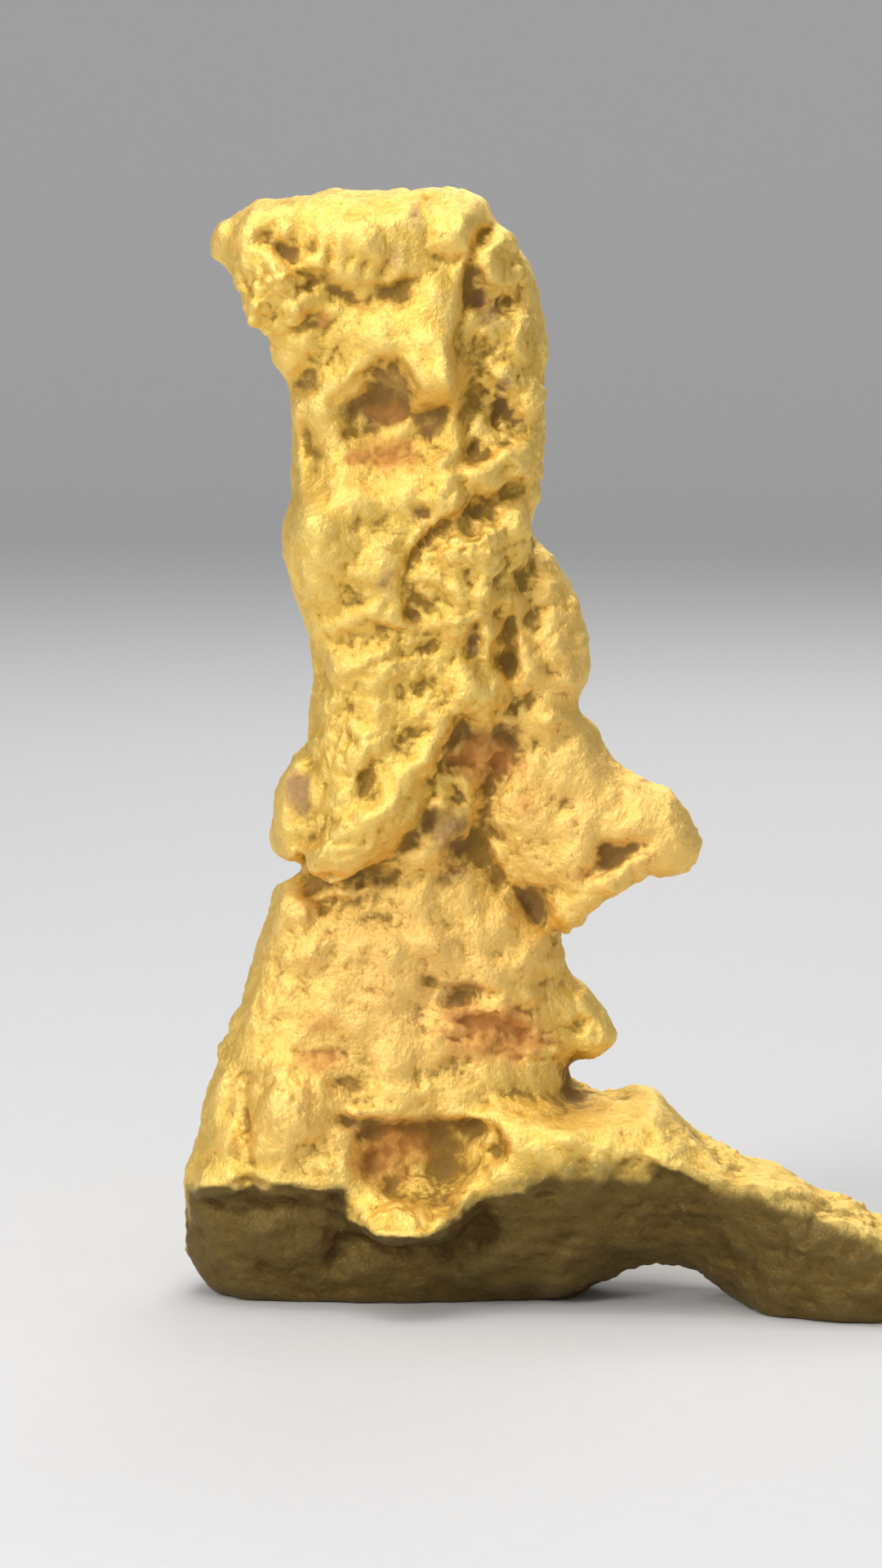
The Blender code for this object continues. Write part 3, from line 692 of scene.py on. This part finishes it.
def math_node(tree, operation, first, second=0.0, third=0.0, clamp=False):
    values = {0: first, 1: second, 2: third}
    return add_node(tree, "ShaderNodeMath", values, operation=operation, use_clamp=clamp).outputs[0]


def scaled(tree, vector, factor):
    return add_node(tree, "ShaderNodeVectorMath", {0: vector, "Scale": factor}, operation="SCALE").outputs[0]


def added(tree, value, factor, rest, clamp=False):
    """value * factor + rest"""
    return math_node(tree, "MULTIPLY_ADD", value, factor, rest, clamp)


def new_tree(name, depth_input):
    """A Geometry Nodes tree with named inputs, and its first and last nodes."""
    tree = bpy.data.node_groups.new(name, "GeometryNodeTree")
    kinds = {"Geometry": "Geometry", "Where": "String", "Seed": "Int", "Material": "Material"}
    sizes = ("Spacing", "Density", "Smallest", "Largest", depth_input)
    for label in ("Geometry", "Where", *sizes, "Seed", "Material"):
        tree.interface.new_socket(label, in_out="INPUT", socket_type="NodeSocket" + kinds.get(label, "Float"))
    tree.interface.new_socket("Geometry", in_out="OUTPUT", socket_type="NodeSocketGeometry")
    return tree, tree.nodes.new("NodeGroupInput"), tree.nodes.new("NodeGroupOutput")


def finish_tree(tree, geometry, start, end):
    """Ends a tree with Realize Instances and Set Material."""
    real = add_node(tree, "GeometryNodeRealizeInstances", {"Geometry": geometry})
    values = {"Geometry": real.outputs[0], "Material": start.outputs["Material"]}
    coloured = add_node(tree, "GeometryNodeSetMaterial", values)
    tree.links.new(coloured.outputs[0], end.inputs[0])


def run_tree(piece, tree, values):
    """Runs a tree on a piece with the given named inputs."""
    step = piece.modifiers.new(tree.name, "NODES")
    step.node_group = tree
    for item in tree.interface.items_tree:
        if item.in_out == "INPUT" and item.name in values:
            step[item.identifier] = values[item.name]
    settle(piece)


def scattered_points(tree, start):
    """Points spread over the surface where a stored share allows them."""
    share = add_node(tree, "GeometryNodeInputNamedAttribute", {"Name": start.outputs["Where"]})
    spread = add_node(
        tree,
        "GeometryNodeDistributePointsOnFaces",
        {
            "Mesh": start.outputs["Geometry"],
            "Distance Min": start.outputs["Spacing"],
            "Density Max": start.outputs["Density"],
            "Density Factor": share.outputs[0],
            "Seed": start.outputs["Seed"],
        },
        distribute_method="POISSON",
    )
    return spread


def random_size(tree, start):
    """A size for each point, between the smallest and the largest."""
    values = {2: start.outputs["Smallest"], 3: start.outputs["Largest"], "Seed": start.outputs["Seed"]}
    return add_node(tree, "FunctionNodeRandomValue", values, data_type="FLOAT").outputs[1]


def random_vector(tree, start, least, most):
    values = {0: least, 1: most, "Seed": start.outputs["Seed"]}
    return add_node(tree, "FunctionNodeRandomValue", values, data_type="FLOAT_VECTOR").outputs[0]


def nodule_tree():
    """Small rounded nodules, grown out of the surface."""
    tree, start, end = new_tree("grow_nodules", "Sunk")
    spread = scattered_points(tree, start)
    ball = add_node(tree, "GeometryNodeMeshIcoSphere", {"Radius": 1.0, "Subdivisions": 2})
    size = random_size(tree, start)
    scale = scaled(tree, random_vector(tree, start, *BALL_STRETCH), size)
    turn = random_vector(tree, start, (0.0, 0.0, 0.0), (math.tau, math.tau, math.tau))
    depth = math_node(tree, "MULTIPLY", start.outputs["Sunk"], -1.0)
    sink = scaled(tree, spread.outputs["Normal"], math_node(tree, "MULTIPLY", size, depth))
    values = {"Geometry": spread.outputs["Points"], "Offset": sink}
    sunk = add_node(tree, "GeometryNodeSetPosition", values).outputs[0]
    values = {"Points": sunk, "Instance": ball.outputs[0], "Rotation": turn, "Scale": scale}
    balls = add_node(tree, "GeometryNodeInstanceOnPoints", values)
    joined = add_node(tree, "GeometryNodeJoinGeometry")
    tree.links.new(start.outputs["Geometry"], joined.inputs[0])
    tree.links.new(balls.outputs[0], joined.inputs[0])
    finish_tree(tree, joined.outputs[0], start, end)
    return tree


def pit_tree():
    """Small round pits, sunk into the surface."""
    tree, start, end = new_tree("sink_pits", "Depth")
    points = scattered_points(tree, start).outputs["Points"]
    size = random_size(tree, start)
    place = add_node(tree, "GeometryNodeInputPosition").outputs[0]
    nearest = add_node(tree, "GeometryNodeSampleNearest", {"Geometry": points}, domain="POINT")
    where = {"Geometry": points, "Index": nearest.outputs[0]}
    centre, radius = (
        add_node(tree, "GeometryNodeSampleIndex", where | {"Value": value}, data_type=kind).outputs[0]
        for value, kind in ((place, "FLOAT_VECTOR"), (size, "FLOAT"))
    )
    away = add_node(tree, "ShaderNodeVectorMath", {0: place, 1: centre}, operation="DISTANCE")
    reach = math_node(tree, "DIVIDE", away.outputs["Value"], radius)
    inside = math_node(tree, "SUBTRACT", 1.0, math_node(tree, "POWER", reach, PIT_WALL), clamp=True)
    sink = math_node(tree, "MULTIPLY", math_node(tree, "POWER", inside, PIT_RIM), radius)
    sink = math_node(tree, "MULTIPLY", sink, math_node(tree, "MULTIPLY", start.outputs["Depth"], -1.0))
    outward = add_node(tree, "GeometryNodeInputNormal").outputs[0]
    values = {"Geometry": start.outputs["Geometry"], "Offset": scaled(tree, outward, sink)}
    moved = add_node(tree, "GeometryNodeSetPosition", values)
    finish_tree(tree, moved.outputs[0], start, end)
    return tree


# ---- the nugget's surface ----


def press_strokes(piece):
    """Adds the swells, and presses the dents, holes, lines and ledges into the front."""
    points, normals = read_surface(piece.data)
    moved = strayed(points)
    x, z = moved[:, 0], moved[:, 2]
    front = facing(normals, FRONT)
    push = np.zeros(len(points))
    for centre, half_sizes, depth, turn in DENTS:
        push += depth * falloff(oval_reach(x, z, centre, half_sizes, turn))
    for half_width, height, path in LINES:
        push -= height * falloff(path_reach(x, z, path)[0] / half_width)
    for depth, width, path in LEDGES:
        push += depth * ledge_share(x, z, path, width)
    push *= front
    spots = as_vectors(points)
    ragged = 1 + RAGGED[0] * pattern(spots, RAGGED[1])
    for centre, radius, depth in HOLES:
        half_size = radius * HOLE_SPREAD
        reach = oval_reach(x, z, centre, (half_size, half_size), 0) * ragged
        push += depth * falloff(reach) ** HOLE_WALL * front
    lift = np.zeros(len(points))
    for size, height, seed in SWELLS:
        lift += height * pattern(spots, size, seed)
    points += normals * lift[:, None]
    points[:, 1] += push
    write_points(piece.data, points)


def mark_zones(piece):
    """Stores where the surface is rough: in the named zones and in chance patches, less where it is worn."""
    points, normals = read_surface(piece.data)
    spots = as_vectors(points)
    chance = smooth_step(pattern(spots, CHANCE_SIZE), *CHANCE_EDGE)
    moved = strayed(points)
    unseen = 1 - facing(normals, FRONT)
    seen_strength, unseen_strength = CHANCE_STRENGTH
    chance *= seen_strength + (unseen_strength - seen_strength) * unseen
    rough = np.maximum(zone(moved, normals, ROUGH_ZONES), zone(moved, normals, ROUGH_BACK_ZONES, BACK))
    rough = np.maximum(rough, chance) * (1 - zone(moved, normals, SMOOTH_ZONES))
    rough = rough * smooth_step(points[:, 2], *ROUGH_START)
    beaded = np.maximum(zone(moved, normals, BEADED_ZONES), zone(moved, normals, BEADED_BACK_ZONES, BACK))
    store(piece.data, "rough", rough)
    store(piece.data, "beaded", np.maximum(beaded, rough * STRAY_BEADS))
    return rough


def faceted(spots, size, seed):
    """Shallow facets that meet at crisp edges."""
    height = np.empty(len(spots))
    offset = Vector((seed, seed, seed))
    for number, spot in enumerate(spots):
        nearest, second = noise.voronoi(spot / size + offset)[0][:2]
        height[number] = second**2 - nearest**2
    return np.clip(height, 0, 1) - FACET_MIDDLE


def add_fine_relief(piece):
    """Adds the smallest unevenness: facets, small lumps, and streaks round the sole."""
    rough = mark_zones(piece)
    points, normals = read_surface(piece.data)
    spots = as_vectors(points)
    bent = spots
    for size, amount in BEND:
        bent = [moved + noise.noise_vector(spot / size) * amount for moved, spot in zip(bent, spots)]
    lift = np.zeros(len(points))
    for size, smooth_height, rough_height, seed in LUMPS:
        lift += pattern(bent, size, seed) * (smooth_height + (rough_height - smooth_height) * rough)
    for size, smooth_height, rough_height, seed in FACETS:
        lift += faceted(bent, size, seed) * (smooth_height + (rough_height - smooth_height) * rough)
    drawn_out = points * (STREAK_FLATNESS, STREAK_FLATNESS, 1)
    drawn_out[:, 0] += points[:, 2] * STREAK_SLANT
    low = 1 - smooth_step(points[:, 2], *STREAK_FADE)
    lift += pattern(as_vectors(drawn_out), STREAK_SIZE) * low * STREAK_HEIGHT
    lift *= smooth_step(points[:, 2], *RELIEF_START)
    write_points(piece.data, points + normals * lift[:, None])


def thin_to_limit(piece):
    """Brings the surface under its limit of triangles, keeping most where it bends."""
    step = piece.modifiers.new("thin", "DECIMATE")
    step.ratio = MOST_TRIANGLES / (2 * len(piece.data.polygons))
    settle(piece)


def keep_on_ground(piece):
    """Flattens the sole where the nugget rests, and keeps the surface inside the solid's reach."""
    points, _ = read_surface(piece.data)
    low, high = np.array(cad_box) / MM
    low -= (PAST_SOLID, PAST_SOLID, 0.0)
    write_points(piece.data, np.clip(points, low, high + PAST_SOLID))


def open_sky(piece):
    """On a coarse copy: its points, how much of the surroundings each sees, and how far it lies in a dip."""
    coarse = new_object("coarse", piece.data.copy())
    remesh(coarse, HOLLOW_VOXEL)
    settle(coarse)
    points, normals = read_surface(coarse.data)
    mesh = bmesh.new()
    mesh.from_mesh(coarse.data)
    tree = BVHTree.FromBMesh(mesh)
    mesh.free()
    turns = []
    for step in range(HOLLOW_RAYS):
        height = 1 - (step + 0.5) / HOLLOW_RAYS
        angle = step * math.pi * (3 - math.sqrt(5))
        flat = math.sqrt(1 - height**2)
        turns.append(Vector((flat * math.cos(angle), flat * math.sin(angle), height)))
    seen = []
    for point, normal in zip(points.tolist(), normals.tolist()):
        out = Vector(normal)
        start = (Vector(point) + out * HOLLOW_START) * MM
        turned = out.to_track_quat("Z", "Y").to_matrix()
        hits = sum(tree.ray_cast(start, turned @ ray, HOLLOW_REACH * MM)[0] is None for ray in turns)
        seen.append(hits / HOLLOW_RAYS)
    even = smoothed(points, mesh_edges(coarse.data), len(points), DIP_PASSES)
    dips = np.sum((even - points) * normals, axis=1)
    bpy.data.objects.remove(coarse)
    return points, np.column_stack((seen, dips))


def height_share(small, broad, table):
    """Adds up a small and a broad depth, each as a share of the depth that is full."""
    (small_full, small_share), (broad_full, broad_share) = table
    return np.clip(small / small_full, 0, 1) * small_share + np.clip(broad / broad_full, 0, 1) * broad_share


def mark_finish(piece):
    """Stores what the material reads: hollows, creases, worn places, stains, and where painted shade goes on
    the undersides.
    """
    data = piece.data
    points, normals = read_surface(data)
    count = len(points)
    edges = mesh_edges(data)
    near = smoothed(points, edges, count, SMALL_PASSES)
    wide = smoothed(near, edges, count, BROAD_PASSES)
    small = np.sum((near - points) * normals, axis=1)
    broad = np.sum((wide - points) * normals, axis=1)
    places, found_there = open_sky(piece)
    index = KDTree(len(places))
    for number, place in enumerate(places):
        index.insert(place, number)
    index.balance()
    surroundings = np.empty((count, 2))
    for number, point in enumerate(points):
        found = index.find_n(point, SKY_POINTS)
        shares = np.array([1 / (distance + SKY_CLOSE) for _, _, distance in found])
        surroundings[number] = shares @ found_there[[at for _, at, _ in found]] / shares.sum()
    sky, dips = smoothed(surroundings, edges, count, SKY_PASSES).T
    moved = strayed(points)
    open_share, fading = HOLLOW_SKY
    store(data, "hollow", np.clip((open_share - sky) / fading, 0, 1))
    store(data, "crease", height_share(small, broad, CREASES))
    store(data, "worn", height_share(-small, -broad, WEAR))
    store(data, "dip", np.clip(dips / FULL_DIP, 0, 1))
    for name, table in (
        ("brown_earth_and_shade", BROWN_EARTH_AND_SHADE),
        ("orange_earth", ORANGE_EARTH),
        ("violet_stain", VIOLET_STAIN),
        ("peach_gold", PEACH_GOLD),
    ):
        store(data, name, zone(moved, normals, table))
    # painted shade: the undersides and the front below the shade line are marked for a dark olive colour,
    # standing in for the shade of the undercut foot
    slope = smoothed(normals, edges, count, SLOPE_PASSES)[:, 2]
    underside = smooth_step(-slope, *UNDERSIDE) * (1 - smooth_step(points[:, 2], *UNDERSIDE_FADE))
    line = np.interp(moved[:, 0], *zip(*SHADE_LINE))
    below = (line - moved[:, 2]) * facing(normals, FRONT)
    edge = np.interp(points[:, 0], *zip(*SHADE_EDGE))
    line_shade = SHADE_AT_LINE * smooth_step(below / edge, 0.0, 1.0)
    line_shade += (1 - SHADE_AT_LINE) * smooth_step(below, edge, SHADE_DEPTH)
    store(data, "painted_underside_shade", np.maximum(underside, line_shade))


# ---- materials ----


def new_group(name, inputs, outputs):
    """A shader node group; an input without a value is a vector."""
    tree = bpy.data.node_groups.new(name, "ShaderNodeTree")
    for label, value in inputs.items():
        kind = "NodeSocketVector" if value is None else "NodeSocketFloat"
        socket = tree.interface.new_socket(label, in_out="INPUT", socket_type=kind)
        if value is not None:
            socket.default_value = value
    for label in outputs:
        tree.interface.new_socket(label, in_out="OUTPUT", socket_type="NodeSocketFloat")
    return tree, tree.nodes.new("NodeGroupInput"), tree.nodes.new("NodeGroupOutput")


def noise_texture(tree, place, scale, detail, roughness):
    values = {"Vector": place, "Scale": scale, "Detail": detail, "Roughness": roughness}
    return add_node(tree, "ShaderNodeTexNoise", values).outputs[0]


def grain_group():
    """Uneven grain at three sizes, as a height and as the valleys in it."""
    tree, start, end = new_group("grain", {"Position": None}, ("Height", "Valleys", "Patches"))
    place = start.outputs["Position"]
    textures = COARSE_GRAIN, FINE_GRAIN, PATCHES
    coarse, fine, patches = (noise_texture(tree, place, *values) for values in textures)
    cells = {"Vector": place, "Scale": GRAIN_CELLS}
    grains = add_node(tree, "ShaderNodeTexVoronoi", cells, feature="F1").outputs[0]
    height = added(tree, grains, -CELL_SHARE, coarse)
    height = added(tree, fine, FINE_SHARE, height)
    tree.links.new(height, end.inputs["Height"])
    values = {"Value": height, "From Min": VALLEYS[0], "From Max": VALLEYS[1]}
    valleys = add_node(tree, "ShaderNodeMapRange", values, clamp=True)
    tree.links.new(valleys.outputs[0], end.inputs["Valleys"])
    tree.links.new(patches, end.inputs["Patches"])
    return tree


def mask_group():
    """A mask that keeps what is above an edge, with that edge broken up by a pattern."""
    inputs = {"Amount": 0.0, "Pattern": 0.5, "Break-up": 1.0, "Edge": 0.5, "Softness": 0.2}
    tree, start, end = new_group("broken_mask", inputs, ("Mask",))
    swing = math_node(tree, "SUBTRACT", start.outputs["Pattern"], 0.5)
    broken = added(tree, swing, start.outputs["Break-up"], start.outputs["Amount"])
    low = math_node(tree, "SUBTRACT", start.outputs["Edge"], start.outputs["Softness"])
    high = math_node(tree, "ADD", start.outputs["Edge"], start.outputs["Softness"])
    values = {"Value": broken, "From Min": low, "From Max": high}
    mask = add_node(tree, "ShaderNodeMapRange", values, interpolation_type="SMOOTHSTEP")
    tree.links.new(mask.outputs[0], end.inputs["Mask"])
    return tree


def stored(tree, name):
    return add_node(tree, "ShaderNodeAttribute", attribute_name=name).outputs["Fac"]


def mix_colour(tree, share, under, over):
    values = {0: share, 6: under, 7: over}
    return add_node(tree, "ShaderNodeMix", values, data_type="RGBA", clamp_factor=True).outputs[2]


def covered(tree, under, mask, strength, over):
    """A colour laid over another where a mask is, at up to the given strength."""
    return mix_colour(tree, math_node(tree, "MULTIPLY", mask, strength), under, over)


def masked(tree, group, amount, pattern, break_up, edge, softness):
    values = dict(enumerate((amount, pattern, break_up, edge, softness)))
    return add_node(tree, "ShaderNodeGroup", values, node_tree=group).outputs[0]


def new_material(name, grain):
    """A material, its node tree, its surface node, and the grain's outputs in it."""
    made = bpy.data.materials.new(name)
    made.use_nodes = True
    tree = made.node_tree
    place = add_node(tree, "ShaderNodeTexCoord").outputs["Object"]
    grains = add_node(tree, "ShaderNodeGroup", {"Position": place}, node_tree=grain)
    return made, tree, tree.nodes["Principled BSDF"], grains.outputs


def native_gold(grain, mask):
    """Native gold: satin and bright where worn, with painted shade in the creases, dips and hollows and on
    the undersides, and earth held in the hollows, the brown partly painted shade.
    """
    made, tree, surface, grains = new_material("native_gold", grain)
    height, valleys, patches = grains["Height"], grains["Valleys"], grains["Patches"]
    hollow, crease = stored(tree, "hollow"), stored(tree, "crease")
    peach_zone = stored(tree, "peach_gold")

    bright = (0.98, 0.705, 0.205, 1)
    plain = (0.92, 0.62, 0.14, 1)
    crease_shade_colour = (0.26, 0.15, 0.028, 1)
    peach = (1.0, 0.645, 0.21, 1)
    brown = (0.26, 0.13, 0.032, 1)
    orange = (0.74, 0.31, 0.07, 1)
    rust = (0.50, 0.23, 0.05, 1)
    tan = (0.72, 0.38, 0.10, 1)
    violet = (0.32, 0.165, 0.11, 1)
    shade_olive = (0.083, 0.053, 0.022, 1)

    shiny = masked(tree, mask, stored(tree, "worn"), patches, 0.5, 0.3, 0.35)
    colour = mix_colour(tree, shiny, plain, bright)
    colour = covered(tree, colour, peach_zone, 0.8, peach)
    mottled = masked(tree, mask, peach_zone, patches, 2.6, 1.15, 0.3)
    colour = covered(tree, colour, mottled, 0.4, tan)
    # painted shade: a darker colour in the creases, dips and hollows
    shade_amount = added(tree, hollow, 0.5, crease)
    shade_amount = added(tree, stored(tree, "dip"), 0.8, shade_amount)
    painted_crease_shade = masked(tree, mask, shade_amount, valleys, 0.5, 0.65, 0.6)
    colour = covered(tree, colour, painted_crease_shade, 0.75, crease_shade_colour)
    # painted shade: a dark olive laid on the undersides and below the shade line
    in_shade = masked(tree, mask, stored(tree, "painted_underside_shade"), patches, 0.7, 0.45, 0.4)
    colour = covered(tree, colour, in_shade, 0.86, shade_olive)

    # brown earth in the hollows, partly painted shade where the brown table covers recesses
    dirt_and_shade = added(tree, hollow, 0.7, math_node(tree, "MULTIPLY", crease, 0.45))
    dirt_and_shade = added(tree, stored(tree, "brown_earth_and_shade"), 0.6, dirt_and_shade)
    earth_and_shade_mask = masked(tree, mask, dirt_and_shade, patches, 0.9, 0.85, 0.3)
    ochre = added(tree, valleys, 0.35, stored(tree, "orange_earth"))
    orange_mask = masked(tree, mask, ochre, patches, 1.8, 0.85, 0.5)
    violet_mask = masked(tree, mask, stored(tree, "violet_stain"), patches, 2.2, 0.8, 0.5)
    freckled = added(tree, peach_zone, 0.16, valleys)
    freckles = masked(tree, mask, freckled, patches, 1.8, 0.9, 0.35)
    colour = covered(tree, colour, earth_and_shade_mask, 0.7, brown)
    colour = covered(tree, colour, freckles, 0.55, rust)
    colour = covered(tree, colour, orange_mask, 0.65, orange)
    colour = covered(tree, colour, violet_mask, 0.7, violet)
    tree.links.new(colour, surface.inputs["Base Color"])

    cover = earth_and_shade_mask
    for layer, share in ((orange_mask, 0.8), (violet_mask, 0.6), (freckles, 0.4)):
        cover = math_node(tree, "MAXIMUM", cover, math_node(tree, "MULTIPLY", layer, share))
    metal = added(tree, cover, -0.75, 1.0)
    tree.links.new(metal, surface.inputs["Metallic"])
    rough = added(tree, valleys, 0.2, 0.51)
    rough = added(tree, painted_crease_shade, 0.12, rough)
    rough = added(tree, cover, 0.3, rough, clamp=True)
    tree.links.new(rough, surface.inputs["Roughness"])
    bump = add_node(tree, "ShaderNodeBump", {"Strength": 0.7, "Distance": 0.0006, "Height": height})
    tree.links.new(bump.outputs[0], surface.inputs["Normal"])
    return made


def pale_floor(grain):
    """The pale matt floor, which curves up into the background all round."""
    made, tree, surface, grains = new_material("pale_floor", grain)
    colour = mix_colour(tree, grains["Patches"], *FLOOR_COLOURS)
    tree.links.new(colour, surface.inputs["Base Color"])
    surface.inputs["Roughness"].default_value = 0.9
    return made


# ---- the studio ----


def studio_floor(material):
    """A round floor whose rim curves up, so that it closes the view from every side."""
    flat, bend, wall_top, segments, steps = 2.3, 0.9, 2.2, 96, 12
    profile = [(0.0, 0.0), (flat, 0.0)]
    for step in range(1, steps + 1):
        angle = math.radians(90) * step / steps
        profile.append((flat + bend * math.sin(angle), bend * (1 - math.cos(angle))))
    profile.append((flat + bend, wall_top))
    mesh = bmesh.new()
    line = [mesh.verts.new((radius, 0, height)) for radius, height in profile]
    edges = [mesh.edges.new(pair) for pair in zip(line, line[1:])]
    turn = {"cent": (0, 0, 0), "axis": (0, 0, 1), "angle": math.tau, "steps": segments}
    bmesh.ops.spin(mesh, geom=line + edges, use_merge=True, **turn)
    bmesh.ops.remove_doubles(mesh, verts=mesh.verts, dist=1e-5)
    bmesh.ops.recalc_face_normals(mesh, faces=mesh.faces)
    if sum(face.normal.z for face in mesh.faces) < 0:
        bmesh.ops.reverse_faces(mesh, faces=mesh.faces)
    data = bpy.data.meshes.new("studio_floor")
    mesh.to_mesh(data)
    mesh.free()
    data.shade_smooth()
    data.materials.append(material)
    return new_object("studio_floor", data)


def soft_light(name, place, aim, size, brightness):
    """A round softbox; brightness is what a mirror that faces it would show, so a larger box lights more."""
    data = bpy.data.lights.new(name, "AREA")
    data.shape = "DISK"
    data.size = size
    data.energy = brightness * (math.pi * size / 2) ** 2
    lamp = new_object(name, data)
    lamp.location = place
    lamp.rotation_euler = (Vector(aim) - Vector(place)).to_track_quat("-Z", "Y").to_euler()


def light_studio():
    for name, place, size, brightness in LIGHTS:
        soft_light(name, place, MIDDLE, size, brightness)
    for number in range(WALL_LIGHTS):
        turn = math.tau * number / WALL_LIGHTS
        place, aim = (
            Vector((out * math.cos(turn), out * math.sin(turn), up))
            for out, up in (WALL_LIGHT_AT, WALL_LIGHT_AIM)
        )
        soft_light(f"wall_{number}", place, aim, WALL_LIGHT_SIZE, WALL_BRIGHTNESS)
    world = bpy.data.worlds.new("studio_air")
    world.use_nodes = True
    air = world.node_tree.nodes["Background"]
    air.inputs["Color"].default_value = AIR_COLOUR
    air.inputs["Strength"].default_value = AIR_BRIGHTNESS
    bpy.context.scene.world = world
    bpy.context.scene.view_settings.view_transform = "Standard"


def set_camera():
    rise = math.radians(CAMERA_HEIGHT_DEGREES)
    back = Vector((0, -math.cos(rise), math.sin(rise)))
    data = bpy.data.cameras.new("camera")
    data.sensor_width = SENSOR
    data.lens = SENSOR * CAMERA_DISTANCE / VIEW_HEIGHT
    made = new_object("camera", data)
    made.location = TARGET + back * CAMERA_DISTANCE
    made.rotation_euler = (-back).to_track_quat("-Z", "Y").to_euler()
    bpy.context.scene.camera = made


def make_nugget(material):
    """Refines the solid into the finished surface."""
    noise.seed_set(NOISE_SEED)
    piece = merged_copy(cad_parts["nugget"], "nugget_surface")
    remesh(piece, FIRST_VOXEL)
    soften(piece, 0.5, 6)
    settle(piece)
    press_strokes(piece)
    mark_zones(piece)
    run_tree(
        piece,
        nodule_tree(),
        {
            "Where": "beaded",
            "Spacing": 2.8 * MM,
            "Density": 120000.0,
            "Smallest": 1.0 * MM,
            "Largest": 2.0 * MM,
            "Sunk": 0.4,
            "Seed": 5,
            "Material": material,
        },
    )
    remesh(piece, FUSE_VOXEL)
    soften(piece, 0.5, 2)
    settle(piece)
    mark_zones(piece)
    run_tree(
        piece,
        pit_tree(),
        {
            "Where": "rough",
            "Spacing": 5.0 * MM,
            "Density": 14000.0,
            "Smallest": 0.9 * MM,
            "Largest": 2.2 * MM,
            "Depth": 0.28,
            "Seed": 11,
            "Material": material,
        },
    )
    add_fine_relief(piece)
    thin_to_limit(piece)
    keep_on_ground(piece)
    mark_finish(piece)
    piece.data.materials.clear()
    piece.data.materials.append(material)
    piece.data.shade_smooth()
    return piece


grain = grain_group()
gold = native_gold(grain, mask_group())
nugget = make_nugget(gold)
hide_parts("nugget")
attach(nugget, "root")

floor = studio_floor(pale_floor(grain))
light_studio()
set_camera()
